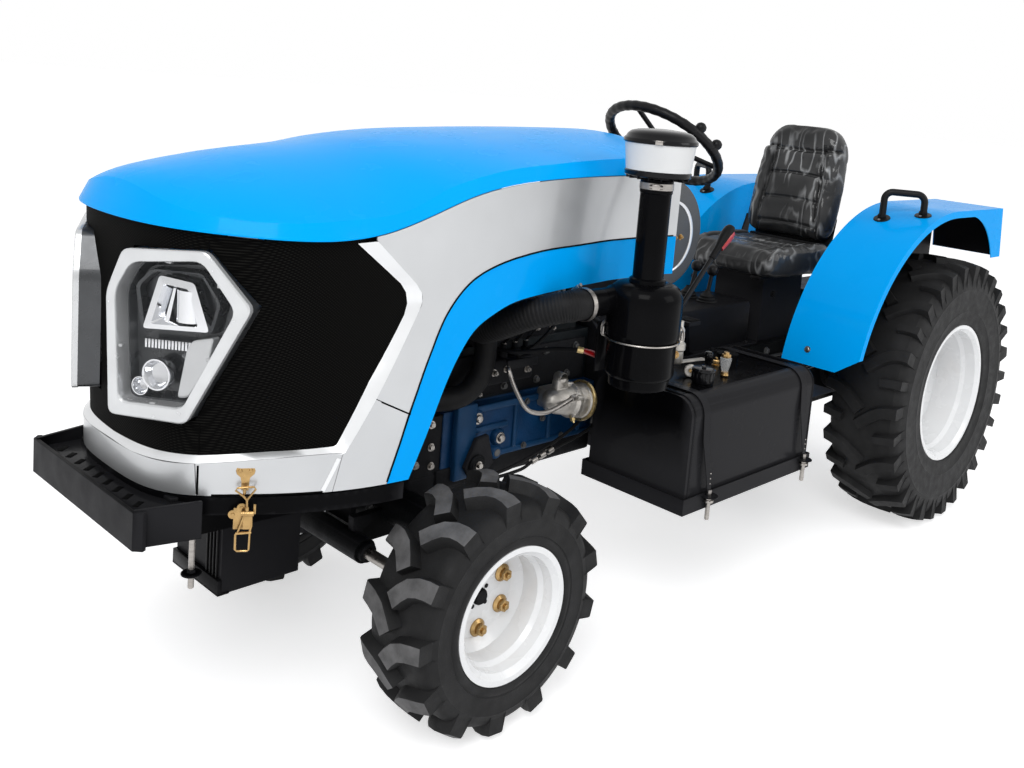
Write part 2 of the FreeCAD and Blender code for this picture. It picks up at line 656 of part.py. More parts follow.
def front_axle():
    """Beam with its differential case, bevel cases and the kingpin tubes below them."""
    reach = kingpin_offset
    beam = rod("AxleBeam", "y", axle_tube_radius, reach * 2, (front_x, -reach, axle_height))
    pumpkin = doc.addObject("Part::Sphere", "Differential")
    bind(pumpkin, "Radius", pumpkin_radius)
    place(pumpkin, front_x, 0, axle_height)
    pieces = [beam, pumpkin]
    case_bottom_z = knuckle_top + moving_gap
    for side, way in (("Left", 1), ("Right", -1)):
        pieces.append(rod("BevelCase" + side, "z", bevel_case_radius, bevel_case_height,
                          (front_x, reach * way, case_bottom_z)))
        pieces.append(rod("Kingpin" + side, "z", kingpin_radius,
                          case_bottom_z - knuckle_bottom - 30,
                          (front_x, reach * way, knuckle_bottom + 30)))
    trunnion = rod("AxleTrunnion", "x", trunnion_radius, trunnion_reach * 2,
                   (front_x - trunnion_reach, 0, axle_height))
    pieces.append(trunnion)
    for index, way in enumerate((1, -1)):
        y = way * (cylinder_length / 2 - 60)
        pieces.append(box(f"SteerBracket{index}", (front_x, front_x + steer_arm),
                          (y - 10, y + 10), (steer_rod_height - 6, axle_height)))
    seat_bore = rod("CylinderSeat", "y", cylinder_radius, cylinder_length,
                    (front_x + steer_arm, -cylinder_length / 2, steer_rod_height))
    return cut("FrontAxle", fuse("FrontAxleSolid", *pieces), seat_bore)


def knuckle(side, way):
    """Cup-shaped final drive case that turns on the kingpin tube, with the wheel's spindle."""
    case = rod("KnuckleCase" + side, "z", knuckle_radius, knuckle_top - knuckle_bottom,
               (front_x, kingpin_offset * way, knuckle_bottom))
    inner_face = front_wheel_offset - front_disc_inset - hub_depth - hub_gap
    length = inner_face - kingpin_offset
    start_y = kingpin_offset if way == 1 else -inner_face
    spindle = rod("Spindle" + side, "y", spindle_radius, length,
                  (front_x, start_y, front_tyre_radius))
    rod_x = front_x + steer_arm
    arm_top = steer_rod_height - steer_eye_half - 3
    arm_outline = [
        (front_x, kingpin_offset * way - 26),
        (rod_x, kingpin_offset * way - 18),
        (rod_x, kingpin_offset * way + 18),
        (front_x, kingpin_offset * way + 26),
    ]
    arm = flat_plate("SteerArm" + side, arm_outline, arm_top - 18, 18)
    boss = rod("SteerArmBoss" + side, "z", 18, 18, (rod_x, kingpin_offset * way, arm_top - 18))
    joined = fuse("KnuckleSolid" + side, case, spindle, arm, boss)
    bore = rod("KingpinBore" + side, "z", kingpin_radius + pin_clearance,
               knuckle_top - knuckle_bottom, (front_x, kingpin_offset * way, knuckle_bottom + 29))
    return cut("Knuckle" + side, joined, bore)


def steering_cylinder():
    """Double-ended cylinder carried in front of the axle by two brackets."""
    x = front_x + steer_arm
    barrel = rod("SteerBarrel", "y", cylinder_radius, cylinder_length,
                 (x, -cylinder_length / 2, steer_rod_height))
    pieces = [barrel]
    for index, way in enumerate((1, -1)):
        cap_y = cylinder_length / 2 if way == 1 else -cylinder_length / 2 - 14
        pieces.append(rod(f"SteerGland{index}", "y", cylinder_radius - 7, 14,
                          (x, cap_y, steer_rod_height)))
    body = fuse("SteerCylinderSolid", *pieces)
    bore = rod("SteerBore", "y", steer_rod_radius + 0.05, cylinder_length + 60,
               (x, -cylinder_length / 2 - 30, steer_rod_height))
    return cut("SteerCylinder", body, bore)


def steering_rod():
    x = front_x + steer_arm
    reach = kingpin_offset
    shaft = rod("SteerShaft", "y", steer_rod_radius, reach * 2, (x, -reach, steer_rod_height))
    pieces = [shaft]
    for index, way in enumerate((1, -1)):
        pieces.append(rod(f"SteerEye{index}", "z", steer_eye_radius, steer_eye_half * 2,
                          (x, reach * way, steer_rod_height - steer_eye_half)))
    return fuse("SteerRod", *pieces)


node("front_axle", front_axle())
node("knuckle_left", knuckle("Left", 1))
node("knuckle_right", knuckle("Right", -1))
node("steering_cylinder", steering_cylinder())
node("steering_rod", steering_rod())


# ---------------------------------------------------------------- bonnet's curved form

def smooth_curve(points):
    curve = Part.BSplineCurve()
    curve.interpolate([Vector(*point) for point in points])
    return curve


def at_station(curve, x, share=1.0):
    """The curve's point at a station along the tractor, in the share of it where x grows."""
    low = curve.FirstParameter
    high = low + (curve.LastParameter - low) * share
    for _ in range(40):
        middle = (low + high) / 2
        if curve.value(middle).x < x:
            low = middle
        else:
            high = middle
    return curve.value(low)


# Plan outline of the nose: distance behind the tip and half width, low down and at grille top.
nose_plan = [
    (nose_setback_1.value, nose_low_1.value, nose_high_1.value),
    (nose_setback_2.value, nose_low_2.value, nose_high_2.value),
    (nose_setback_3.value, nose_low_3.value, nose_high_3.value),
    (nose_setback_4.value, bonnet_half_front.value - 20, bonnet_half_front.value),
]
bonnet_back = front_x.value - hinge_back.value - bonnet_overlap.value
level_span = grille_top.value - bonnet_bottom.value


def plan_curve(column, tip):
    """Plan outline of the bonnet from its rear right corner round the nose to the left."""
    corner = tip - nose_plan[-1][0]
    wide = nose_plan[-1][column]
    rear = bonnet_half_rear.value
    half = [(bonnet_back - 12, -rear, 0),
            ((bonnet_back + corner) / 2, -rear * 0.44 - wide * 0.56, 0)]
    half += [(tip - station[0], -station[column], 0) for station in reversed(nose_plan)]
    return smooth_curve(half + [(tip, 0, 0)] + [(x, -y, 0) for x, y, _ in reversed(half)])


nose_tip = nose_x.value - bonnet_front_gap.value
low_plan = plan_curve(1, nose_tip)
high_plan = plan_curve(2, nose_tip + nose_lean.value)

# Lower edge of the blue top, as station ahead of the front axle and height below the hinge.
top_edge = [(-400, 26), (-240, 29), (-82, 37), (0, 47), (88, 66), (169, 92), (250, 118),
            (310, 133), (380, 142), (480, 143), (611, 138), (700, 135)]
# Blue trim's upper edge and the open arch's edge over the front wheel.
trim_edge = [(-419, 193), (-256, 197), (-105, 205), (0, 224), (63, 248), (105, 281),
             (137, 323), (162, 374), (214, 517), (261, 667), (285, 744)]
arch_edge = [(-445, 296), (-273, 299), (-156, 303), (-67, 312), (-6, 331), (46, 357),
             (81, 395), (111, 442), (163, 558), (214, 674), (241, 744)]
# Roof: station, drop of its centre line below the rear crown, and fall from there to the side.
roof_line = [(-800, 0, 69), (-430, 4, 66), (-180, 13, 60), (0, 24, 62), (100, 35, 72),
             (170, 44, 85), (250, 56, 105), (330, 65, 110), (400, 74, 109), (480, 87, 110),
             (560, 101, 125), (640, 126, 172), (700, 164, 200), (760, 222, 230)]
# Opening in the silver panels round the grille, with its rounded rear tip.
grille_edge = [[(324, 144), (221, 239)], [(206, 259), (203, 277), (209, 294)],
               [(299, 473), (355, 578)], [(360, 579), (483, 582), (599, 594), (640, 598)]]
level = hinge_height.value


def on_side(points):
    """Stations and depths below the hinge as points on the centre plane."""
    return [(front_x.value + station, 0, level - depth) for station, depth in points]


top_edge_curve = smooth_curve([(bonnet_back - 60, 0, level - 26)] + on_side(top_edge))


def wall_point(share, height, inset):
    """A point on the bonnet's wall, share of the way round its plan outline."""
    rise = (height - bonnet_bottom.value) / level_span
    spots = []
    for curve in (low_plan, high_plan):
        place_on = curve.FirstParameter + (curve.LastParameter - curve.FirstParameter) * share
        along = curve.tangent(place_on)[0]
        spots.append(curve.value(place_on) + Vector(-along.y, along.x, 0) * inset)
    mixed = spots[0] * (1 - rise) + spots[1] * rise
    return Vector(mixed.x, mixed.y, height)


def wall_ring(inset, height=None, above=0.0):
    """The wall's outline at one height, or at a height above the blue top's lower edge."""
    count = 40
    points = []
    for index in range(count + 1):
        share = index / count
        level_here = height or grille_top.value
        if height is None:
            for _ in range(4):
                x = wall_point(share, level_here, inset).x
                level_here = at_station(top_edge_curve, x).z + above
        points.append(wall_point(share, level_here, inset))
    curve = Part.BSplineCurve()
    curve.interpolate(points)
    return Part.Wire([curve.toShape(), Part.makeLine(points[-1], points[0])])


def roof_solid(inset):
    """Everything under the bonnet's crowned roof."""
    line = smooth_curve([(front_x.value + station, drop, fall)
                         for station, drop, fall in roof_line])
    start = bonnet_back - 30
    span = front_x.value + roof_line[-1][0] - 5 - start
    half = bonnet_half_front.value + 42
    rows = []
    for index in range(18):
        spot = at_station(line, start + span * index / 17)
        row = []
        for step in range(-4, 5):
            y = half * step / 4
            fall = spot.z * (y / 400) ** 2
            row.append(Vector(spot.x, y, crown_rear.value - spot.y - inset - fall))
        rows.append(row)
    surface = Part.BSplineSurface()
    surface.interpolate(rows)
    return surface.toShape().extrude(Vector(0, 0, -800))


def bonnet_form(inset):
    """The bonnet's outer form, or with an inset the hollow inside it, as one solid."""
    foot = bonnet_bottom.value - 57 - inset
    walls = Part.makeLoft([
        wall_ring(inset, foot - 5),
        wall_ring(inset, above=3),
        wall_ring(inset + visor_lean.value, above=3 + visor_height.value),
        wall_ring(inset + visor_lean.value + 4, crown_rear.value + 150),
    ], True, True)
    block = Part.makeBox(1500, 1000, 900, Vector(bonnet_back - inset, -500, foot))
    return walls.common(roof_solid(inset)).common(block)


def side_region(runs, reach=500.0):
    """A prism across the tractor over an outline in x and z; runs of 3 or more are smooth."""
    edges = []
    spots = [[Vector(x, -reach, z) for x, _, z in run] for run in runs]
    for index, run in enumerate(spots):
        if len(run) == 2:
            edges.append(Part.makeLine(run[0], run[1]))
        else:
            curve = Part.BSplineCurve()
            curve.interpolate(run)
            edges.append(curve.toShape())
        following = spots[(index + 1) % len(spots)][0]
        if run[-1].distanceToPoint(following) > 0.001:
            edges.append(Part.makeLine(run[-1], following))
    return Part.Face(Part.Wire(edges)).extrude(Vector(0, reach * 2, 0))


def feature(name, shape):
    thing = doc.addObject("Part::Feature", name)
    thing.Shape = shape
    return thing


# ---------------------------------------------------------------- frame, engine and driveline

def front_frame():
    """Two rails from the engine to the bumper, cross plates and the apron under the nose."""
    rail_rear = front_x - engine_rear + engine_length
    bottom = rail_top - rail_depth
    pieces = []
    for side, way in (("Left", 1), ("Right", -1)):
        y_from = rail_half - rail_wall if way == 1 else -rail_half
        pieces.append(side_plate("Rail" + side, [
            (rail_rear, bottom + 20),
            (front_x + 60, bottom),
            (nose_x - 200, bottom + 20),
            (nose_x - 40, bumper_bottom),
            (nose_x - 40, rail_top),
            (rail_rear, rail_top),
        ], y_from, rail_wall))
    cross = box("FrameCross", (nose_x - 60, nose_x - 40), (-rail_half, rail_half),
                (bumper_bottom, rail_top))
    floor = box("FrameFloor", (front_x + 150, front_x + 260), (-radiator_half, radiator_half),
                (rail_top - 1, radiator_bottom))
    support = box("AxleCarrier", (front_x - trunnion_reach, front_x + trunnion_reach),
                  (-rail_half, rail_half), (axle_height + pumpkin_radius + 8, rail_top - 20))
    lugs = []
    for index, x in enumerate((-trunnion_reach, trunnion_reach - 16)):
        lugs.append(box(f"TrunnionLug{index}", (front_x + x, front_x + x + 16), (-60, 60),
                        (axle_height - 45, rail_top - 20)))
    solid = fuse("FrameSolid", *pieces, cross, floor, support, *lugs)
    bore = rod("TrunnionBore", "x", trunnion_radius, trunnion_reach * 2 + 2,
               (front_x - trunnion_reach - 1, 0, axle_height))
    frame = cut("FrontFrameCore", solid, bore)
    return fuse("FrontFrame", frame, apron())


def apron():
    """Tray under the nose that follows the bonnet's plan outline, open at the rear."""
    top = apron_top.value
    outer = Part.Face(wall_ring(apron_inset.value, top))
    inner = Part.Face(wall_ring(apron_inset.value + plate.value, top - sheet_metal.value * 2))
    shell = outer.extrude(Vector(0, 0, -apron_depth.value))
    shell = shell.cut(inner.extrude(Vector(0, 0, -apron_depth.value)))
    behind = Part.makeBox(2000, 1200, 200,
                          Vector(front_x.value + apron_rear.value - 2000, -600, top - 120))
    return feature("Apron", shell.cut(behind))


def bumper():
    body = new_body("Bumper")
    front = nose_x
    outline = [
        (front, -bumper_half),
        (front, bumper_half),
        (front - bumper_wing, bumper_half + bumper_wing),
        (front - bumper_wing - plate, bumper_half + bumper_wing - plate * 0.5),
        (front - plate, bumper_half - plate * 0.5),
        (front - plate, -bumper_half + plate * 0.5),
        (front - bumper_wing - plate, -bumper_half - bumper_wing + plate * 0.5),
        (front - bumper_wing, -bumper_half - bumper_wing),
    ]
    drawing = sketch(body, "BumperOutline", "XY_Plane", outline)
    pad(body, drawing, bumper_height)
    bind(body, "Placement.Base.z", bumper_bottom)
    beam = box("BumperBeam", (front - 40, front - plate), (-bumper_half + 10, bumper_half - 10),
               (bumper_bottom + 4, bumper_bottom + 44))
    pieces = []
    rear = front - bracket_length
    for side, way in (("Left", 1), ("Right", -1)):
        near = bumper_half * way - bracket_lean * 0.1 * way
        pieces.append(flat_plate("BumperBracket" + side, [
            (front - plate / 2, near),
            (rear, near + bracket_lean * way),
            (rear, near + bracket_lean * way - plate * way),
            (front - plate / 2, near - plate * way),
        ], bumper_bottom + 2, bumper_height))
    return fuse("FrontBumper", body, beam, *pieces)


def battery_box():
    """Folded box hung under the apron between the rails, with the battery in it."""
    x1 = front_x + battery_front
    x0 = x1 - battery_length
    top = apron_top - sheet_metal * 2
    inside = battery_half - sheet_metal
    outer = box("BatteryOuter", (x0, x1), (-battery_half, battery_half), (battery_bottom, top))
    inner = box("BatteryInner", (x0 + sheet_metal, x1 - sheet_metal), (-inside, inside),
                (battery_bottom + sheet_metal, top + 1))
    block = box("BatteryBlock", (x0 + sheet_metal / 2, x1 - sheet_metal / 2),
                (-inside - 1, inside + 1), (battery_bottom + 1, top - battery_room))
    return fuse("BatteryBox", cut("BatteryTray", outer, inner), block)


def engine_block():
    x0 = front_x - engine_rear
    x1 = x0 + engine_length
    crankcase = box("Crankcase", (x0, x1), (-engine_half, engine_half),
                    (engine_bottom, girdle_top))
    block = box("CylinderBlock", (x0 + 12, x1 - 12), (-block_half, block_half),
                (girdle_top - 1, block_top))
    head = box("CylinderHead", (x0 + 40, x1 - 40), (-head_half, head_half),
               (block_top - 1, engine_top))
    sump = box("Sump", (x0 + 60, x1 - 190), (-engine_half + 40, engine_half - 40),
               (engine_bottom - sump_depth, engine_bottom + 1))
    return fuse("EngineBlock", crankcase, block, head, sump)


def radiator():
    x0 = front_x + radiator_x
    core = box("RadiatorCore", (x0, x0 + radiator_depth), (-radiator_half, radiator_half),
               (radiator_bottom, radiator_top))
    shroud = rod("FanShroud", "x", radiator_half - 12, 50,
                 (x0 - 49, 0, (radiator_bottom + radiator_top) / 2))
    return fuse("Radiator", core, shroud)


def transmission():
    x0 = rear_x - case_rear
    x1 = front_x - engine_rear
    case = box("GearCase", (x0, x1 - 200), (-case_half, case_half), (case_bottom, case_top))
    bell = rod("BellHousing", "x", bell_radius, 200,
               (x1 - 200, 0, engine_bottom + bell_radius - 30))
    neck = box("GearNeck", (x1 - 320, x1 - 190), (-case_half, case_half),
               (case_bottom + 40, case_top + 60))
    shaft = rod("PtoShaft", "x", pto_radius, pto_length + 1, (x0 - pto_length, 0, pto_height))
    return fuse("Transmission", case, bell, neck, shaft)


def rear_axle():
    pieces = []
    for side, way in (("Left", 1), ("Right", -1)):
        inner = case_half
        length = trumpet_end - inner
        start = inner if way == 1 else -trumpet_end
        pieces.append(rod("Trumpet" + side, "y", trumpet_radius, length,
                          (rear_x, start, rear_tyre_radius)))
        flange_y = inner if way == 1 else -inner - 18
        pieces.append(rod("TrumpetRoot" + side, "y", trumpet_flange, 18,
                          (rear_x, flange_y, rear_tyre_radius)))
    return group("RearAxle", fuse("AxleHousingLeft", pieces[0], pieces[1]),
                 fuse("AxleHousingRight", pieces[2], pieces[3]))


node("front_frame", front_frame())
node("front_bumper", bumper())
node("battery_box", battery_box())
node("engine_block", engine_block())
node("radiator", radiator())
node("transmission", transmission())
node("rear_axle", rear_axle())


# ---------------------------------------------------------------- hitch

def lift_case():
    x0 = rear_x - case_rear
    case = box("LiftCaseBlock", (x0, rear_x + 150), (-lift_half, lift_half),
               (case_top, lift_top))
    lugs = []
    for index, y in enumerate((-30, 14)):
        lugs.append(box(f"TopLinkLug{index}", (x0 - 50, x0 + 1), (as_size(y), as_size(y) + 16),
                        (case_top + 10, case_top + 70)))
    solid = fuse("LiftCaseSolid", case, *lugs)
    bore = rod("TopLinkBore", "y", 9.7, 100, (x0 - 28, -50, case_top + 40))
    shaft_hole = rod("RockshaftHole", "y", rockshaft_radius + 0.05, lift_half * 2 + 2,
                     (rear_x - rockshaft_x, -lift_half - 1, rockshaft_height))
    return cut("LiftCase", solid, bore, shaft_hole)


def lift_arms():
    """The rockshaft with an arm at each end, pointing back."""
    x = rear_x - rockshaft_x
    tip = x - lift_arm_length
    reach = lift_arm_y + arm_plate / 2
    pieces = [rod("Rockshaft", "y", rockshaft_radius, reach * 2, (x, -reach, rockshaft_height))]
    for side, way in (("Left", 1), ("Right", -1)):
        y_from = lift_arm_y * way - arm_plate / 2
        pieces.append(side_plate("LiftArm" + side, [
            (x, rockshaft_height + 40),
            (x, rockshaft_height - 40),
            (tip, rockshaft_height - 20),
            (tip, rockshaft_height + 20),
        ], y_from, arm_plate))
        pieces.append(rod("LiftArmHub" + side, "y", 40, arm_plate, (x, y_from, rockshaft_height)))
        pieces.append(rod("LiftArmEnd" + side, "y", 20, arm_plate, (tip, y_from, rockshaft_height)))
    return fuse("LiftArms", *pieces)


def lower_link(side, way):
    x = rear_x - link_pivot_x
    tip = rear_x - rear_overhang + link_eye_radius
    y_from = link_y * way - link_plate / 2
    strip = box("LinkStrip" + side, (tip, x), (y_from, y_from + link_plate),
                (link_pivot_height - link_depth / 2, link_pivot_height + link_depth / 2))
    eye = rod("LinkEye" + side, "y", link_eye_radius, link_plate + 10,
              (tip, y_from - 5, link_pivot_height))
    root = rod("LinkRoot" + side, "y", link_depth / 2, link_plate, (x, y_from, link_pivot_height))
    solid = fuse("LinkSolid" + side, strip, eye, root)
    ball = rod("LinkBall" + side, "y", link_ball_bore, 60, (tip, y_from - 20, link_pivot_height))
    pin = rod("LinkPinHole" + side, "y", link_pin_radius + 0.05, 60,
              (x, y_from - 20, link_pivot_height))
    return cut("Link" + side, solid, ball, pin)


def drawbar():
    x0 = rear_x - drawbar_rear
    x1 = rear_x + 60
    top = drawbar_height + drawbar_thickness
    half = drawbar_width / 2
    strip = box("DrawbarStrip", (x0 + half, x1), (-half, half), (drawbar_height, top))
    nose = rod("DrawbarNose", "z", half, drawbar_thickness, (x0 + half, 0, drawbar_height))
    hanger = box("DrawbarHanger", (rear_x - 90, rear_x + 60), (-80, 80), (top - 1, case_bottom))
    cross_z = (link_pivot_height - 26, link_pivot_height + 26)
    cross = []
    for side, way in (("Left", 1), ("Right", -1)):
        span = (case_half, link_y - link_plate) if way == 1 else (-link_y + link_plate, -case_half)
        cross.append(box("PinBoss" + side, (rear_x - link_pivot_x - 30, rear_x - link_pivot_x + 30),
                         span, cross_z))
        pin_y = case_half if way == 1 else -link_y - link_plate
        cross.append(rod("LinkPin" + side, "y", link_pin_radius,
                         link_y + link_plate - case_half,
                         (rear_x - link_pivot_x, pin_y, link_pivot_height)))
    solid = fuse("DrawbarSolid", strip, nose, hanger)
    bore = rod("DrawbarBore", "z", drawbar_bore, 60, (x0 + half, 0, drawbar_height - 10))
    return group("Drawbar", cut("DrawbarPlate", solid, bore), fuse("PinsLeft", *cross[:2]),
                 fuse("PinsRight", *cross[2:]))


def lift_rods():
    top_x = rear_x - rockshaft_x - lift_arm_length
    low_x = rear_x - link_pivot_x - rod_pin_x
    pieces = []
    for side, way in (("Left", 1), ("Right", -1)):
        y = (lift_arm_y + arm_plate / 2 + 18) * way
        pieces.append(bar_between("LiftRod" + side, lift_rod_radius,
                                  (top_x, y, rockshaft_height),
                                  (low_x, y, link_pivot_height + link_depth / 2 + 24)))
    return group("LiftRods", *pieces)


node("lift_case", lift_case())
node("lift_arms", lift_arms())
node("lower_links", group("LowerLinks", lower_link("Left", 1), lower_link("Right", -1)))
node("lift_rods", lift_rods())
node("drawbar", drawbar())


# ---------------------------------------------------------------- bonnet

def bonnet():
    """The bonnet's panels, cut from one thin shell where the real panels meet."""
    outer = bonnet_form(0.0)
    shell = outer.cut(bonnet_form(bonnet_wall.value))
    recessed = bonnet_form(grille_recess.value).cut(
        bonnet_form(grille_recess.value + bonnet_wall.value))
    fx = front_x.value
    far_back = bonnet_back - 60
    front = nose_x.value + 60
    gap = panel_gap.value
    high = crown_rear.value + 200
    low = bonnet_bottom.value - 120
    line = [(point.x, 0, point.z) for point in top_edge_curve.discretize(60)]

    def above_line(shift):
        lifted = [(x, 0, z + shift) for x, _, z in line]
        return side_region([lifted, [(front, 0, lifted[-1][2]), (front, 0, high)],
                            [(front, 0, high), (far_back, 0, high)]])

    bonnet_top = shell.common(above_line(0))
    hinge_at = front_x.value - hinge_back.value
    arm_half = hinge_arm.value / 2
    reach = hinge_arm_y.value
    inside = bonnet_form(bonnet_wall.value / 2)
    for way in (1, -1):
        arm = Part.makeBox(hinge_arm.value, hinge_arm.value, 120,
                           Vector(hinge_at - arm_half, way * reach - arm_half, level))
        barrel = Part.makeCylinder(hinge_barrel.value, hinge_arm.value + 16,
                                   Vector(hinge_at, way * reach - arm_half - 8, level),
                                   Vector(0, 1, 0))
        bore = Part.makeCylinder(hinge_pin.value + 0.05, hinge_arm.value + 20,
                                 Vector(hinge_at, way * reach - arm_half - 10, level),
                                 Vector(0, 1, 0))
        bonnet_top = bonnet_top.fuse(arm.common(inside).fuse(barrel).cut(bore))
    below = shell.cut(above_line(-gap))
    edge = [on_side(run) for run in grille_edge]
    bottom_end = (front, 0, level - grille_edge[-1][-1][1] - 4)
    over = (front, 0, level)
    first = (edge[0][0][0], 0, level)
    opening = side_region(edge + [[bottom_end, over], [over, first]])
    grille = recessed.common(opening).cut(above_line(-4))
    open_arch = side_region([on_side(arch_edge),
                             [(fx + 241, 0, low), (far_back, 0, low)],
                             [(far_back, 0, low), (far_back, 0, level - 296)]])
    trims_area = side_region([on_side(trim_edge),
                              [(fx + 285, 0, low - 2), (far_back, 0, low - 2)],
                              [(far_back, 0, low - 2), (far_back, 0, level - 193)]])
    foot = Part.makeBox(2000, 1000, 200, Vector(bonnet_back - 20, -500,
                                                bonnet_bottom.value - 200))
    walls = below.cut(opening).cut(open_arch).cut(foot)
    trims = walls.common(trims_area)
    silver = walls.cut(trims_area.translated(Vector(gap * 0.7, 0, gap * 0.7)))
    band_area = side_region([[(fx + 357, 0, level - 560), (fx + 394, 0, low)],
                             [(front, 0, low), (front, 0, level - 560)]])
    band = silver.common(band_area)
    sides = silver.cut(band_area.translated(Vector(-gap * 0.5, 0, 0)))
    leg_seam = side_region([[(fx + 420, 0, level - 408), (fx + 150, 0, level - 549)],
                            [(fx + 150, 0, level - 549 - gap), (fx + 420, 0, level - 408 - gap)]])
    sides = sides.cut(leg_seam)
    for way in (1, -1):
        slot = Part.makeBox(160, gap, 200, Vector(fx + 500, way * 238 - gap / 2, low + 50))
        band = band.cut(slot)
    return bonnet_top, sides, trims, grille, band


def lamp_outline(inset):
    """The lamp's six-sided outline about its middle, across and up."""
    left = -0.364 * lamp_width + inset
    right = 0.636 * lamp_width - inset
    up = 0.3 * lamp_height - inset
    down = -0.7 * lamp_height + inset
    return [
        (left + 0.04 * lamp_width, down),
        (0.245 * lamp_width - inset * 0.8, down + 0.015 * lamp_height),
        (right, as_size(0)),
        (0.348 * lamp_width - inset * 0.4, up),
        (-0.248 * lamp_width + inset * 0.6, up - 0.043 * lamp_height),
        (left, as_size(0)),
    ]


def lamp_prism(name, inset, depth_from, depth):
    body = new_body(name)
    drawing = sketch(body, name + "Outline", "YZ_Plane", lamp_outline(inset))
    pad(body, drawing, depth)
    bind(drawing, "AttachmentOffset.Base.z", depth_from)
    place(body, front_x + lamp_x, lamp_y, lamp_middle,
          Rotation(Vector(0, 0, 1), float(lamp_turn)))
    return body


def headlight():
    """Bezel ring with a housing behind it, open to the front, and a round low lamp inside."""
    shell = lamp_prism("LampShell", 0, lamp_proud - lamp_depth, lamp_depth)
    hollow = lamp_prism("LampHollow", bezel_width, lamp_proud - lamp_depth + 8, lamp_depth)
    return cut("Lamp", shell, hollow)


top_shape, sides_shape, trims_shape, grille_shape, band_shape = bonnet()
lamp = headlight()
lamp_opening = lamp_prism("LampOpening", -1, -150, 300)
doc.recompute()
opening_left = lamp_opening.Shape
opening_right = opening_left.mirror(Vector(0, 0, 0), Vector(0, 1, 0))
grille_shape = grille_shape.cut(opening_left).cut(opening_right)


def latch(side, way):
    """Draw latch that pulls the nose band down on the frame, square to the band's curve."""
    body = new_body("Latch" + side)
    drawing = sketch(body, "LatchOutline" + side, "YZ_Plane", [
        (-latch_width / 2, -latch_height),
        (latch_width / 2, -latch_height),
        (latch_width / 2, latch_height),
        (-latch_width / 2, latch_height),
    ])
    pad(body, drawing, latch_thickness)
    share = low_plan.parameter(at_station(low_plan, front_x.value + latch_x.value, 0.5))
    spot = low_plan.value(share)
    along = low_plan.tangent(share)[0]
    out = Vector(along.y, -along.x, 0)
    spot = spot + out * latch_stand.value
    angle = math.degrees(math.atan2(-out.y, out.x))
    place(body, spot.x, -spot.y * way, bonnet_bottom, Rotation(Vector(0, 0, 1), angle * way))
    return body


node("bonnet_latches", group("Latches", latch("Left", 1), latch("Right", -1)))
node("headlights", group("Headlights", lamp, mirrored("LampRight", lamp)))
node("bonnet_top", feature("BonnetTop", top_shape))
node("bonnet_sides", feature("BonnetSides", sides_shape))
node("arch_trims", feature("ArchTrims", trims_shape))
node("grille", feature("Grille", grille_shape))
node("nose_band", feature("NoseBand", band_shape))


# ---------------------------------------------------------------- tank and air cleaner

def fuel_tank():
    x0 = rear_x + tank_rear
    body = new_body("FuelTank")
    top = tank_bottom + tank_height
    y0 = tank_inner
    y1 = tank_inner + tank_width
    drawing = sketch(body, "TankSection", "YZ_Plane", [
        (y0, tank_bottom),
        (y1, tank_bottom),
        (y1, top - tank_round, tank_round),
        (y1 - tank_round, top),
        (y0 + tank_round, top, tank_round),
        (y0, top - tank_round),
    ])
    pad(body, drawing, tank_length)
    bind(body, "Placement.Base.x", x0)
    cap = rod("FillerCap", "z", 32, 30, (x0 + 200, tank_inner + 150, top - 1))
    return fuse("Tank", body, cap)


def tank_tray():
    x0 = rear_x + tank_rear - 6
    x1 = rear_x + tank_rear + tank_length + 14
    y0 = tank_inner - 12
    y1 = tank_inner + tank_width + 10
    floor = tank_bottom - sheet_metal
    low = tank_bottom - tray_drop
    outer = box("TrayOuter", (x0, x1), (y0, y1), (low, low + tray_depth))
    inner = box("TrayInner", (x0 + sheet_metal, x1 - sheet_metal),
                (y0 + sheet_metal, y1 - sheet_metal), (tank_bottom, tank_bottom + 19))
    below = box("TrayBelow", (x0 + sheet_metal, x1 - sheet_metal),
                (y0 + sheet_metal, y1 - sheet_metal), (tank_bottom - 28, floor))
    arm = []
    for index, x in enumerate((90, 430)):
        arm.append(box(f"TrayArm{index}", (x0 + x, x0 + x + 60), (case_half, y0 + 4),
                       (tank_bottom - 27, tank_bottom + 13)))
    return fuse("TankTray", cut("TrayPan", outer, inner, below), *arm)


def air_cleaner():
    x = front_x - cleaner_back
    canister = rod("Canister", "z", cleaner_radius, cleaner_top - cleaner_bottom,
                   (x, cleaner_y, cleaner_bottom))
    stack = rod("Stack", "z", stack_radius, bowl_bottom - cleaner_top + 1,
                (x, cleaner_y, cleaner_top - 1))
    outlet = rod("CleanerOutlet", "x", hose_radius - 4, 60,
                 (x + cleaner_radius - 20, cleaner_y - outlet_shift, cleaner_top - outlet_drop))
    foot = box("CleanerFoot", (x - 40, x + 40), (block_half, cleaner_y - 60),
               (cleaner_bottom + 20, cleaner_bottom + 32))
    return fuse("AirCleaner", canister, stack, outlet, foot)


def pre_cleaner():
    x = front_x - cleaner_back
    bowl = rod("Bowl", "z", bowl_radius, bowl_height, (x, cleaner_y, bowl_bottom))
    return bowl


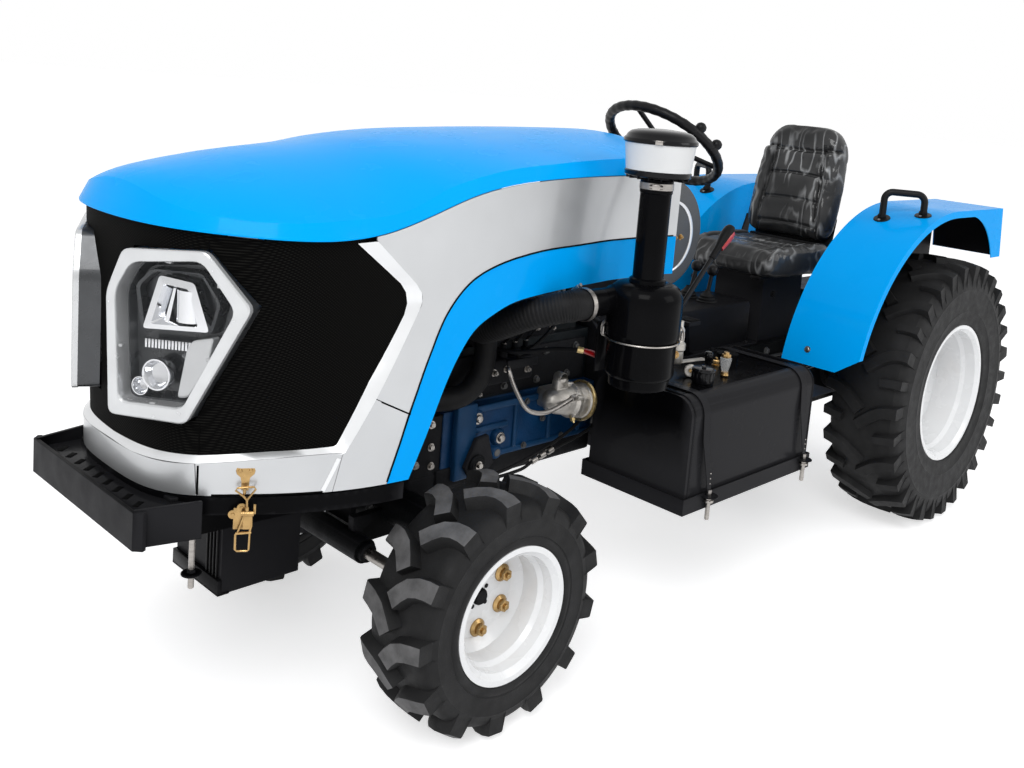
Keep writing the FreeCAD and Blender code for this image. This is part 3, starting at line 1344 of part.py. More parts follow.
def pipe_along(name, radius, points, bends):
    """A round tube's outer solid along straight runs joined by tangent arcs."""
    spots = [Vector(*[float(value) for value in point]) for point in points]
    edges = []
    start = spots[0]
    for index in range(1, len(spots) - 1):
        before = (spots[index - 1] - spots[index]).normalize()
        after = (spots[index + 1] - spots[index]).normalize()
        half_turn = (math.pi - before.getAngle(after)) / 2
        setback = float(bends) * math.tan(half_turn)
        first = spots[index] + before * setback
        last = spots[index] + after * setback
        middle_way = (before + after).normalize()
        centre = spots[index] + middle_way * (float(bends) / math.cos(half_turn))
        middle = centre - middle_way * float(bends)
        edges.append(Part.makeLine(start, first))
        edges.append(Part.Arc(first, middle, last).toShape())
        start = last
    edges.append(Part.makeLine(start, spots[-1]))
    path = Part.Wire(edges)
    ring = Part.Wire(Part.makeCircle(float(radius), spots[0], spots[1] - spots[0]))
    tube = doc.addObject("Part::Feature", name)
    tube.Shape = path.makePipeShell([ring], True, False)
    return tube


def intake_hose():
    """Corrugated hose from the air cleaner's outlet forwards and down to the engine."""
    start = (front_x - cleaner_back + cleaner_radius + 40, cleaner_y - outlet_shift,
             cleaner_top - outlet_drop)
    points = [
        start,
        (start[0] + 60, start[1], start[2]),
        (start[0] + 250, start[1] - 190, start[2] - 20),
        (start[0] + 260, engine_half + 45, start[2] - 150),
        (start[0] + 190, engine_half + 45, start[2] - 260),
    ]
    return pipe_along("IntakeHose", hose_radius, points, 60)


node("fuel_tank", fuel_tank())
node("tank_tray", tank_tray())
node("air_cleaner", air_cleaner())
node("pre_cleaner", pre_cleaner())
node("intake_hose", intake_hose())


def exhaust():
    """Silencer along the engine's right side with a tail pipe that leads down and back."""
    x0 = front_x - engine_rear + 90
    y = -engine_half - silencer_radius - 25
    z = engine_top - 240
    can = rod("Silencer", "x", silencer_radius, silencer_length, (x0, y, z))
    neck = rod("ManifoldNeck", "y", 24, silencer_radius + 25 + engine_half - block_half,
               (x0 + 120, y, z + 10))
    tail = pipe_along("TailPipe", tail_radius, [
        (x0 + 5, y, z),
        (x0 - 60, y, z),
        (x0 - 60, y, z - 260),
        (x0 - 130, y, z - 330),
    ], 55)
    return fuse("Exhaust", can, neck, tail)


node("exhaust", exhaust())


# ---------------------------------------------------------------- operator's place

def dash_console():
    """Dash pod on its pedestal, the steering column and the bonnet hinge's lugs and pin."""
    front = front_x - dash_back
    upper = front - dash_step
    body = cross_section("DashPod", [
        (front, dash_bottom),
        (front - dash_foot, dash_bottom + 24, -dash_curve),
        (front - dash_roof, dash_top),
        (upper, dash_top),
        (upper, dash_shelf),
        (front, dash_shelf),
    ], dash_half)
    bell_middle = engine_bottom + bell_radius - 30
    block = box("DashPedestalBlock", (front - 120, front - 20), (-90, 90),
                (bell_middle + bell_radius * 0.6, dash_bottom + 20))
    pedestal = cut("DashPedestal", block, rod("BellClear", "x", bell_radius, 400,
                                              (front - 300, 0, bell_middle)))
    base = (front_x - wheel_back + 20 * sine(wheel_rake), as_size(0),
            wheel_height - 20 * cosine(wheel_rake))
    far = (front_x - wheel_back + column_length * sine(wheel_rake), as_size(0),
           wheel_height - column_length * cosine(wheel_rake))
    column = bar_between("Column", column_radius, base, far)
    hinge_at = front_x - hinge_back
    lug_half = hinge_arm_y + 30
    pieces = [rod("HingePin", "y", hinge_pin, lug_half * 2, (hinge_at, -lug_half, hinge_height))]
    for side, start in (("Left", lug_half - 12), ("Right", -lug_half)):
        pieces.append(box("HingeLug" + side, (upper - 1, hinge_at + 12), (start, start + 12),
                          (dash_shelf - 1, hinge_height + 14)))
    return fuse("DashConsole", body, pedestal, column, *pieces)


def steering_wheel():
    tilt = Rotation(Vector(0, 1, 0), -float(wheel_rake))
    ring = doc.addObject("Part::Torus", "WheelRim")
    bind(ring, "Radius1", wheel_radius)
    bind(ring, "Radius2", wheel_grip)
    hub = doc.addObject("Part::Cylinder", "WheelHub")
    bind(hub, "Radius", column_radius + 10)
    bind(hub, "Height", 34)
    hub.Placement = Placement(Vector(0, 0, -14), Rotation())
    spokes = []
    for index in range(3):
        spoke = doc.addObject("Part::Cylinder", f"WheelSpoke{index}")
        bind(spoke, "Radius", 8)
        bind(spoke, "Height", wheel_radius)
        spoke.Placement = Placement(Vector(0, 0, 0), Rotation(Vector(0, 0, 1), 120 * index)
                                    * Rotation(Vector(0, 1, 0), 90))
        spokes.append(spoke)
    wheel = fuse("SteeringWheel", ring, hub, *spokes)
    return place(wheel, front_x - wheel_back, as_size(0), wheel_height, tilt)


def seat():
    x0 = rear_x + seat_rear
    base = box("SeatBase", (x0 + 60, x0 + seat_length - 120), (-100, 100),
               (case_top, seat_base_top))
    cushion = box("SeatCushion", (x0, x0 + seat_length), (-seat_half, seat_half),
                  (seat_base_top, seat_base_top + cushion_height))
    back = doc.addObject("Part::Box", "SeatBack")
    bind(back, "Length", back_thickness)
    bind(back, "Width", back_half * 2)
    bind(back, "Height", back_height)
    place(back, x0 - 10, -back_half, back_bottom, Rotation(Vector(0, 1, 0), -float(back_lean)))
    return base, cushion, back


def fender(side, way):
    """A curved top sheet with an outer flange, a rear gusset and an inner wall."""
    cx, cz = rear_x, rear_tyre_radius - 4
    wall = sheet_metal
    top = cz + fender_radius
    front_z = fender_front_height
    drop = front_z - cz
    front_reach = Size(math.sqrt(fender_radius.value ** 2 - drop.value ** 2),
                       f"sqrt({fender_radius.text} ^ 2 - {drop.text} ^ 2)")
    inner_radius = fender_radius - wall
    inner_reach = Size(math.sqrt(inner_radius.value ** 2 - drop.value ** 2),
                       f"sqrt({inner_radius.text} ^ 2 - {drop.text} ^ 2)")
    rear_end = cx - fender_rear
    y_low = fender_inner if way == 1 else -fender_outer
    width = fender_outer - fender_inner
    top_sheet = side_plate("FenderTop" + side, [
        (cx + front_reach, front_z, fender_radius),
        (cx, top),
        (rear_end, top),
        (rear_end, top - wall),
        (cx, top - wall, -inner_radius),
        (cx + inner_reach, front_z),
    ], y_low, width)
    flange_radius = fender_radius - fender_flange
    flange_reach = Size(math.sqrt(flange_radius.value ** 2 - drop.value ** 2),
                        f"sqrt({flange_radius.text} ^ 2 - {drop.text} ^ 2)")
    flange_y = fender_outer - wall if way == 1 else -fender_outer
    flange = side_plate("FenderFlange" + side, [
        (cx + front_reach, front_z, fender_radius),
        (cx, top),
        (rear_end, top),
        (rear_end - 30, fender_drop),
        (rear_end + 55, fender_drop, -260),
        (rear_end + 260, top - fender_flange),
        (cx, top - fender_flange, -flange_radius),
        (cx + flange_reach, front_z),
    ], flange_y, wall)
    wall_y = fender_inner if way == 1 else -fender_inner - wall
    inner_wall = side_plate("FenderWall" + side, [
        (cx + front_reach - 0.5, front_z, fender_radius - 0.5),
        (cx, top - 0.5),
        (rear_end, top - 0.5),
        (rear_end, front_z + 60),
        (cx - 160, front_z),
    ], wall_y, wall)
    stay_span = (fender_inner - 40, fender_inner + 1)
    if way == -1:
        stay_span = (-fender_inner - 1, -fender_inner + 40)
    stay = cut("FenderStay" + side,
               box("FenderStayBlock" + side, (cx - 45, cx + 45), stay_span,
                   (rear_tyre_radius + trumpet_radius * 0.6, front_z + 60)),
               rod("TrumpetClear" + side, "y", trumpet_radius, fender_inner * 2 + 40,
                   (rear_x, -fender_inner - 20, rear_tyre_radius)))
    corner = new_body("FenderCorner" + side)
    edge = (fender_outer + 10) * way
    run = (fender_clip + 10) * way
    drawing = sketch(corner, "FenderCornerOutline" + side, "YZ_Plane", [
        (edge, front_z - 10),
        (edge, front_z + fender_clip * fender_clip_slope + 10),
        (edge - run * 1.2, front_z - 10),
    ])
    pad(corner, drawing, 200)
    bind(corner, "Placement.Base.x", cx + front_reach - 150)
    return cut("Fender" + side, fuse("FenderSolid" + side, top_sheet, flange, inner_wall, stay),
               corner)


def handle_bar(side, way):
    """A bent tube across the fender's top, ending on its curved sheet."""
    centre_z = rear_tyre_radius - 4
    feet = ((rear_x + 235, 375 * way), (rear_x + 160, 488 * way))
    heights = []
    for x, y in feet:
        reach = float(x - rear_x)
        heights.append(float(centre_z) + math.sqrt(float(fender_radius) ** 2 - reach ** 2))
    top = max(heights) + float(handle_height)
    points = [(feet[0][0], feet[0][1], heights[0] - 30), (feet[0][0], feet[0][1], top),
              (feet[1][0], feet[1][1], top), (feet[1][0], feet[1][1], heights[1] - 30)]
    tube = pipe_along("HandleTube" + side, handle_radius, points, 28)
    under = rod("HandleClear" + side, "y", fender_radius, 400,
                (rear_x, 250 if way == 1 else -650, centre_z))
    return cut("Handle" + side, tube, under)


def footboards():
    """Right footboard on brackets from the gearbox case, and the short left one."""
    plates = []
    for side, way, front in (("Right", -1, step_front), ("Left", 1, tank_rear - 15)):
        span = (case_half, step_outer) if way == 1 else (-step_outer, -case_half)
        plates.append(box("Step" + side, (rear_x + step_rear, rear_x + front), span,
                          (step_height, step_height + sheet_metal)))
        gusset_y = (case_half, step_outer - 120) if way == 1 else (-step_outer + 120, -case_half)
        gusset = box("StepArm" + side, (rear_x + step_rear + 60, rear_x + step_rear + 90),
                     gusset_y, (step_height - 40, step_height + 1))
        plates[-1] = fuse("Footboard" + side, plates[-1], gusset)
    return group("Footboards", *plates)


def pedals():
    """Clutch pedal on the left and two brake pedals on one shaft on the right."""
    x = rear_x + step_front - 40
    sets = []
    for name, way, offsets in (("Clutch", 1, (28,)), ("Brake", -1, (28, 110))):
        reach = offsets[-1] + 9
        start = case_half if way == 1 else -case_half - reach
        pieces = [rod(name + "Shaft", "y", 12, reach, (x - 60, start, step_height + 40))]
        for index, offset in enumerate(offsets):
            y = (case_half + offset) * way
            pieces.append(side_plate(f"{name}Arm{index}", [
                (x - 56, step_height + 28),
                (x + 50, step_height + 80),
                (x + 70, step_height + 187),
                (x + 52, step_height + 187),
                (x + 34, step_height + 94),
                (x - 64, step_height + 52),
            ], y - 5, 10))
            pieces.append(box(f"{name}Pad{index}", (x + 30, x + 90), (y - 32, y + 32),
                              (step_height + 186, step_height + 198)))
        sets.append(fuse(name + "Pedals", *pieces))
    return group("Pedals", *sets)


def levers():
    """Gear levers between the legs, the hand lever on the left and two column levers."""
    pieces = []
    x = rear_x + 780
    for index, (y, lean) in enumerate(((-40, 60), (40, 40))):
        stick = pipe_along(f"GearStick{index}", 7, [
            (x, y, case_top), (x, y, case_top + 60),
            (x - lean, y, case_top + 260),
        ], 40)
        knob = doc.addObject("Part::Sphere", f"GearKnob{index}")
        bind(knob, "Radius", 20)
        place(knob, x - lean, y, case_top + 262)
        pieces.append(fuse(f"GearLever{index}", stick, knob))
    hand = pipe_along("HandStick", 8, [
        (rear_x + 1180, case_half + 7, case_top + 20),
        (rear_x + 1190, case_half + 65, case_top + 130),
        (rear_x + 905, case_half + 65, case_top + 430),
    ], 60)
    pieces.append(hand)
    return group("Levers", *pieces)


node("grab_handles", group("Handles", handle_bar("Left", 1), handle_bar("Right", -1)))
node("footboards", footboards())
node("pedals", pedals())
node("control_levers", levers())
node("dash_console", dash_console())
node("steering_wheel", steering_wheel())
base_shape, cushion_shape, back_shape = seat()
node("seat_base", base_shape)
node("seat_cushion", cushion_shape)
node("seat_back", back_shape)
node("fender_left", fender("Left", 1))
node("fender_right", fender("Right", -1))


# ---------------------------------------------------------------- check and export

doc.recompute()
faults = []
for item in doc.Objects:
    if "Invalid" in item.State or "Error" in item.State:
        faults.append(f"{item.Name}: {item.State}")
for piece in nodes:
    if piece.Shape.isNull() or not piece.Shape.isValid():
        faults.append(f"{piece.Label}: shape is not valid")
if faults:
    raise RuntimeError("; ".join(faults))

os.makedirs("parts", exist_ok=True)
for piece in nodes:
    piece.Shape.exportStep(f"parts/{piece.Label}.step")
    solids = len(piece.Shape.Solids)
    print(f"{piece.Label}: {solids} solid(s), {piece.Shape.Volume / 1e6:.3f} litres")
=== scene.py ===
from itertools import product
from math import cos, dist, exp, pi, radians, sin, sqrt, tau

import bmesh
import bpy
from mathutils import Matrix, Vector
from mathutils.bvhtree import BVHTree


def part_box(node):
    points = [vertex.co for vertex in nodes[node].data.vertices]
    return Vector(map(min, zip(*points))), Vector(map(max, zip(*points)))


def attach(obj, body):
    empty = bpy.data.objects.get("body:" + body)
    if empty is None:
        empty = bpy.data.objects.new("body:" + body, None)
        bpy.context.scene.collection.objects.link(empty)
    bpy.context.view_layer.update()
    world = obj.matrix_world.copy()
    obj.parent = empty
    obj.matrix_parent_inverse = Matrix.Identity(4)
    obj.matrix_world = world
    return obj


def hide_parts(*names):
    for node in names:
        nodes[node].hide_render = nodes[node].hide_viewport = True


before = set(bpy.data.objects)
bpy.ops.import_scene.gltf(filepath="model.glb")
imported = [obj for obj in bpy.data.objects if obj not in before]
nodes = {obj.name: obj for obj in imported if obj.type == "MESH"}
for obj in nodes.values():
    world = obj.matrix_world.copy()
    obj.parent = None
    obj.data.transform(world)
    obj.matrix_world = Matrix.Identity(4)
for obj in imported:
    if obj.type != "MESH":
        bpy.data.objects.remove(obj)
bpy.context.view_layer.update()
scene = bpy.context.scene
X, Y, Z = Vector((1, 0, 0)), Vector((0, 1, 0)), Vector((0, 0, 1))
SIDES = (("left", 1), ("right", -1))
TANK_TOP = 0.676


def middle(node):
    """The middle of a node's box."""
    low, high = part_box(node)
    return (Vector(low) + Vector(high)) / 2


REAR = middle("rear_tyre_left")
FRONT = middle("front_tyre_left")
RX, FX = REAR.x, FRONT.x


def at(x, y, z):
    """A point given from the rear axle's station, in metres."""
    return Vector((RX + x, y, z))


# ------------------------------------------------------------------ camera and lamps

CAMERA_PLACE = (2.6472, 2.0465, 1.4517)
YAW, PITCH, ROLL = radians(-137.205), radians(-7.932), radians(4.943)
SENSOR, LENS = 36.0, 36.875
SHIFT_X, SHIFT_Y = -0.0523, -0.1498


def make_camera():
    """The photo's camera, solved from the rims, the tyres, the bumper and the steering wheel."""
    ahead = Vector((cos(PITCH) * cos(YAW), cos(PITCH) * sin(YAW), sin(PITCH)))
    right = ahead.cross(Z).normalized()
    up = right.cross(ahead)
    right, up = cos(ROLL) * right + sin(ROLL) * up, cos(ROLL) * up - sin(ROLL) * right
    data = bpy.data.cameras.new("Camera")
    data.sensor_width, data.lens = SENSOR, LENS
    data.shift_x, data.shift_y = SHIFT_X, SHIFT_Y
    camera = bpy.data.objects.new("Camera", data)
    scene.collection.objects.link(camera)
    turn = Matrix((right, up, -ahead)).transposed().to_4x4()
    camera.matrix_world = Matrix.Translation(CAMERA_PLACE) @ turn
    scene.camera = camera


def lamp(name, place, target, size, power):
    """A square area lamp at a place, facing a target."""
    data = bpy.data.lights.new(name, "AREA")
    data.energy = power
    data.size = size
    thing = bpy.data.objects.new(name, data)
    thing.location = place
    thing.rotation_euler = (Vector(target) - Vector(place)).to_track_quat("-Z", "Y").to_euler()
    scene.collection.objects.link(thing)


# ------------------------------------------------------------------ materials

def wire(tree, node, sockets):
    """Sets sockets, by name or number, to constants, or joins outputs to them."""
    for key, value in sockets.items():
        if isinstance(value, bpy.types.NodeSocket):
            tree.links.new(value, node.inputs[key])
        else:
            node.inputs[key].default_value = value


def shader(tree, kind, sockets):
    node = tree.nodes.new("ShaderNode" + kind)
    wire(tree, node, sockets)
    return node


def sums(tree, operation, first, second):
    """Two values joined by a sum of the Math node."""
    node = shader(tree, "Math", {0: first, 1: second})
    node.operation = operation
    return node.outputs[0]


def blend(tree, share, first, second):
    """Two colours mixed; 0 is the first and 1 the second."""
    node = shader(tree, "Mix", {})
    node.data_type = "RGBA"
    wire(tree, node, {0: share, 6: first, 7: second})
    return node.outputs[2]


def relief(tree, height, strength, distance, normal=None):
    """The normal of a bump made from a height."""
    sockets = {"Height": height, "Strength": strength, "Distance": distance}
    if normal:
        sockets["Normal"] = normal
    return shader(tree, "Bump", sockets).outputs["Normal"]


def placed(tree):
    """The object's own coordinates, in metres."""
    return tree.nodes.new("ShaderNodeTexCoord").outputs["Object"]


def stretched(tree, where, scale):
    return shader(tree, "Mapping", {"Vector": where, "Scale": scale}).outputs["Vector"]


def noise(tree, scale, detail=3.0, rough=0.55, stretch=None):
    where = placed(tree)
    if stretch:
        where = stretched(tree, where, stretch)
    return shader(tree, "TexNoise", {"Vector": where, "Scale": scale, "Detail": detail,
                                     "Roughness": rough}).outputs["Fac"]


def spread(tree, source, low, high, start=0.3, stop=0.7):
    """A value from start to stop mapped onto low to high."""
    return shader(tree, "MapRange", {"Value": source, "From Min": start, "From Max": stop,
                                     "To Min": low, "To Max": high}).outputs["Result"]


def tint(tree, source, dark, light, start=0.3, stop=0.7):
    """A value from start to stop mapped onto dark to light."""
    ramp = shader(tree, "ValToRGB", {"Fac": source})
    ends = ramp.color_ramp.elements
    ends[0].position, ends[0].color = start, (*dark, 1)
    ends[1].position, ends[1].color = stop, (*light, 1)
    return ramp.outputs["Color"]


def new_material(name):
    """A material with its node tree and its main shader."""
    m = bpy.data.materials.new(name)
    m.use_nodes = True
    return m, m.node_tree, m.node_tree.nodes["Principled BSDF"]


def surface(name, colour, rough=0.4, metal=0.0, vary=0.06, scale=9.0, swing=0.06, bump=0.0,
            grain=300.0, coat=0.0, coat_rough=0.06, edge=0.0, worn=None, stretch=None,
            specular=0.5):
    """A procedural finish: colour and roughness variation, fine grain, soft and worn edges."""
    m, tree, p = new_material(name)
    dark = tuple(max(0.0, c * (1 - vary)) for c in colour)
    light = tuple(min(1.0, c * (1 + vary)) for c in colour)
    base = tint(tree, noise(tree, scale, stretch=stretch), dark, light)
    if worn:
        edges = tree.nodes.new("ShaderNodeNewGeometry").outputs["Pointiness"]
        base = blend(tree, spread(tree, edges, 0.0, 1.0, 0.53, 0.62), base, (*worn, 1))
    gloss = spread(tree, noise(tree, scale * 2.7), max(0.02, rough - swing), rough + swing)
    wire(tree, p, {"Base Color": base, "Roughness": gloss, "Metallic": metal,
                   "Specular IOR Level": specular, "Coat Weight": coat,
                   "Coat Roughness": coat_rough})
    normal = None
    if edge:
        soft = shader(tree, "Bevel", {"Radius": edge})
        soft.samples = 3
        normal = soft.outputs["Normal"]
    if bump:
        normal = relief(tree, noise(tree, grain, 4.0), min(1.0, bump), 0.001, normal)
    if normal:
        tree.links.new(normal, p.inputs["Normal"])
    return m


BLUE = surface("blue_gloss", (0.0, 0.39, 1.0), 0.26, 0.0, 0.03, 3.0, 0.03, 0.06, 900, 0.05, 0.03,
               specular=0.02)
SILVER = surface("silver_metallic", (0.5, 0.51, 0.52), 0.36, 0.75, 0.05, 4.0, 0.04, 0.12, 1400,
                 0.6, 0.08)
# a paler silver; along the bonnet's creases it is painted highlight
SILVER_EDGE = surface("silver_bevel", (0.74, 0.75, 0.76), 0.32, 0.6, 0.04, 6.0, 0.04, 0.1, 1400,
                      0.6, 0.08)
WHITE = surface("white_enamel", (0.84, 0.85, 0.86), 0.27, 0.0, 0.02, 5.0, 0.05, 0.08, 500, 0.5,
                0.06)
BLACK = surface("black_gloss", (0.0025, 0.0025, 0.003), 0.24, 0.0, 0.3, 6.0, 0.05, 0.08, 700,
                0.045, 0.05, edge=0.002, worn=(0.02, 0.02, 0.022), specular=0.02)
FRAME_BLACK = surface("black_satin", (0.0025, 0.0025, 0.003), 0.38, 0.0, 0.3, 7.0, 0.08, 0.2,
                      420, 0.01, 0.2, edge=0.003, worn=(0.018, 0.018, 0.02), specular=0.03)
BLACK_PLASTIC = surface("black_plastic", (0.006, 0.006, 0.0065), 0.42, 0.0, 0.2, 9.0, 0.07, 0.3,
                        900, edge=0.002, specular=0.1)
GREY_PLASTIC = surface("grey_plastic", (0.055, 0.058, 0.062), 0.5, 0.0, 0.1, 8.0, 0.05, 0.45,
                       1100, edge=0.003)
CAST = surface("cast_iron_black", (0.005, 0.0055, 0.006), 0.5, 0.1, 0.4, 11.0, 0.12, 0.9, 170,
               edge=0.004, worn=(0.025, 0.025, 0.028), specular=0.05)
ENGINE = surface("engine_blue", (0.001, 0.034, 0.105), 0.4, 0.1, 0.35, 10.0, 0.12, 0.8, 190,
                 edge=0.006, worn=(0.015, 0.065, 0.15), specular=0.15)
ENGINE_BLOCK = surface("engine_block_blue", (0.001, 0.034, 0.105), 0.4, 0.1, 0.35, 10.0, 0.12, 0.8,
                       190, edge=0.006, specular=0.2)
RADIATOR = surface("radiator_core", (0.1, 0.1, 0.105), 0.5, 0.7, 0.5, 26.0, 0.1, 0.8, 90,
                   stretch=(1, 1, 14))
STEEL = surface("steel", (0.34, 0.32, 0.3), 0.34, 1.0, 0.15, 30.0, 0.1, 0.3, 500,
                stretch=(1, 1, 6))
ALLOY = surface("cast_alloy", (0.42, 0.4, 0.37), 0.46, 0.9, 0.2, 24.0, 0.1, 0.9, 160,
                edge=0.003)
BRASS = surface("brass", (0.4, 0.26, 0.11), 0.32, 1.0, 0.16, 40.0, 0.08, 0.25, 400)
ZINC = surface("zinc_yellow", (0.55, 0.42, 0.2), 0.34, 0.9, 0.25, 60.0, 0.1, 0.3, 380)
RUBBER = surface("tyre_rubber", (0.012, 0.012, 0.0125), 0.62, 0.0, 0.3, 12.0, 0.08, 0.7, 330,
                 specular=0.18)
LUG_TOP = surface("tyre_lug_tops", (0.095, 0.094, 0.096), 0.7, 0.0, 0.35, 26.0, 0.07, 0.9, 240,
                  specular=0.35)
HOSE = surface("hose_rubber", (0.009, 0.009, 0.0095), 0.55, 0.0, 0.25, 20.0, 0.06, 0.5, 500,
               specular=0.12)
CABLE = surface("cable_black", (0.01, 0.01, 0.011), 0.36, 0.0, 0.2, 20.0, 0.06, 0.2, 500)
RED = surface("red_grip", (0.4, 0.006, 0.008), 0.32, 0.0, 0.15, 20.0, 0.05, 0.2, 600, 0.3)
CHROME = surface("chrome", (0.8, 0.81, 0.83), 0.1, 1.0, 0.04, 12.0, 0.05, 0.05, 300)
BEZEL = surface("lamp_bezel", (0.6, 0.61, 0.62), 0.22, 0.45, 0.05, 14.0, 0.06, 0.15, 300, 0.7,
                0.05, edge=0.003)
LAMP_DARK = surface("lamp_inside", (0.045, 0.048, 0.052), 0.3, 0.5, 0.2, 12.0, 0.08, 0.15, 300,
                    0.4)
SEAM = surface("dark_seam", (0.002, 0.002, 0.002), 0.6, 0.0, 0.2, 12.0, 0.05, 0.2, 300,
               specular=0.02)


def glass(name, dark, light, alpha, rough=0.03):
    """Clear polycarbonate with faint ripples; light passes through without a dark shadow."""
    m, tree, p = new_material(name)
    wire(tree, p, {"Base Color": tint(tree, noise(tree, 6.0), dark, light),
                   "Roughness": spread(tree, noise(tree, 18.0), rough * 0.6, rough * 1.6),
                   "IOR": 1.45, "Alpha": alpha,
                   "Normal": relief(tree, noise(tree, 14.0, 2.0), 0.25, 0.002)})
    return m


def mesh_cloth():
    """Fine woven steel mesh: two crossed wave patterns set the colour, relief and gloss."""
    m, tree, p = new_material("grille_mesh")
    where, waves = placed(tree), []
    for flip in (1, -1):
        wave = shader(tree, "TexWave", {"Vector": stretched(tree, where, (1, 1, flip)),
                                        "Scale": 110.0, "Distortion": 0.15, "Detail": 0.0})
        wave.bands_direction = "DIAGONAL"
        waves.append(wave.outputs["Fac"])
    weave = sums(tree, "MULTIPLY", *waves)
    wire(tree, p, {"Base Color": tint(tree, weave, (0.001, 0.001, 0.001),
                                      (0.007, 0.0068, 0.006), 0.1, 0.8),
                   "Roughness": spread(tree, weave, 0.85, 0.5, 0.1, 0.8),
                   "Specular IOR Level": 0.04, "Normal": relief(tree, weave, 0.3, 0.001)})
    return m


def vinyl_in_film():
    """Black vinyl, fine leather grain, wrinkled clear film and painted highlights on the wrinkles.
    """
    m = surface("black_vinyl", (0.006, 0.006, 0.0065), 0.42, 0.0, 0.3, 16.0, 0.06, 0.0, 600)
    tree = m.node_tree
    p = tree.nodes["Principled BSDF"]
    vinyl = p.inputs["Base Color"].links[0].from_socket
    cells = shader(tree, "TexVoronoi", {"Vector": placed(tree), "Scale": 420.0})
    wrinkles = noise(tree, 5.0, 2.5, 0.5, stretch=(1.0, 2.2, 0.6))
    folds = sums(tree, "PINGPONG", wrinkles, 0.06)
    ridges = spread(tree, folds, 0.0, 1.0, 0.034, 0.06)
    patches = spread(tree, noise(tree, 6.0, 2.0), 0.0, 1.0, 0.4, 0.66)
    # painted highlight: the base colour turns pale grey along the film's wrinkle ridges
    painted_glints = spread(tree, sums(tree, "MULTIPLY", ridges, patches), 0.03, 0.55, 0.0, 1.0)
    wire(tree, p, {"Base Color": blend(tree, painted_glints, vinyl, (0.62, 0.63, 0.64, 1)),
                   "Normal": relief(tree, cells.outputs["Distance"], 0.35, 0.0006),
                   "Coat Normal": relief(tree, folds, 1.0, 0.02),
                   "Coat Weight": spread(tree, patches, 0.1, 0.5, 0.0, 1.0),
                   "Coat Roughness": 0.05, "Coat IOR": 1.6, "Specular IOR Level": 0.12})
    return m


WHITE_PLASTIC = surface("white_plastic", (0.74, 0.75, 0.755), 0.38, 0.0, 0.03, 7.0, 0.05, 0.1, 600,
                        specular=0.35)
WHEEL_BLACK = surface("wheel_black", (0.007, 0.007, 0.008), 0.34, 0.0, 0.2, 9.0, 0.06, 0.2, 900,
                      edge=0.001, specular=0.15)
BLACK_LID = surface("black_lid", (0.005, 0.005, 0.006), 0.16, 0.0, 0.2, 7.0, 0.04, 0.05, 500, 0.12,
                    0.04, edge=0.0015, specular=0.12)
BOLT_BLACK = surface("blacked_bolts", (0.02, 0.021, 0.024), 0.42, 0.5, 0.4, 40.0, 0.1, 0.4, 400,
                     worn=(0.12, 0.12, 0.12))
GLASS = glass("lamp_glass", (0.02, 0.022, 0.024), (0.06, 0.063, 0.066), 0.14)
JAR_GLASS = glass("jar_glass", (0.55, 0.56, 0.56), (0.7, 0.71, 0.71), 0.34)
MESH = mesh_cloth()
VINYL = vinyl_in_film()
SLOTS = {finish.name: slot for slot, finishes in {
    "aluminium": (ALLOY,),
    "black_paint": (BLACK, FRAME_BLACK),
    "blue_paint": (BLUE,),
    "brass": (BRASS, ZINC),
    "cast_black": (BOLT_BLACK, CAST),
    "engine_blue": (ENGINE,),
    "lamp": (BEZEL, CHROME, GLASS, LAMP_DARK),
    "plastic_black": (BLACK_LID, BLACK_PLASTIC, RED, SEAM, WHEEL_BLACK),
    "plastic_grey": (GREY_PLASTIC,),
    "plastic_white": (JAR_GLASS, WHITE_PLASTIC),
    "rubber": (CABLE, HOSE),
    "silver_paint": (SILVER_EDGE,),
    "steel": (STEEL,),
    "tyre": (RUBBER,),
}.items() for finish in finishes}


# ------------------------------------------------------------------ mesh building

BOX_FACES = ((0, 1, 3, 2), (4, 6, 7, 5), (0, 4, 5, 1), (2, 3, 7, 6), (0, 2, 6, 4), (1, 5, 7, 3))


def frame_of(axis, hint=None):
    w = Vector(axis).normalized()
    hint = Vector(hint) if hint else (Z if abs(w.z) < 0.9 else X)
    u = (hint - w * hint.dot(w)).normalized()
    return u, w.cross(u), w


def flow(points, count=8):
    """A smooth path through the points (Catmull-Rom)."""
    pts = [Vector(p) for p in points]
    pts = [pts[0] * 2 - pts[1]] + pts + [pts[-1] * 2 - pts[-2]]
    path = []
    for i in range(1, len(pts) - 2):
        a, b, c, d = pts[i - 1:i + 3]
        for k in range(count):
            t = k / count
            path.append(0.5 * ((2 * b) + (c - a) * t + (2 * a - 5 * b + 4 * c - d) * t * t
                               + (3 * b - a - 3 * c + d) * t ** 3))
    path.append(pts[-2])
    return path


def spoke(turn):
    """The direction at a turn round an upright axis."""
    return Vector((cos(turn), sin(turn), 0))


def upright(turn):
    """The direction at a turn round a cross axis, from ahead to up."""
    return Vector((cos(turn), 0, sin(turn)))


def turns(count, start=0.0):
    """Angles spaced evenly round a circle."""
    return [tau * (k + start) / count for k in range(count)]


def arc(centre, radius, start, stop, count):
    """Points of an arc in a plane, from a start to a stop in degrees."""
    steps = [radians(start + (stop - start) * k / count) for k in range(count + 1)]
    return [(centre[0] + radius * cos(t), centre[1] + radius * sin(t)) for t in steps]


def route(count, *points):
    """A smooth path through points given from the rear axle's station."""
    return flow([at(*p) for p in points], count)


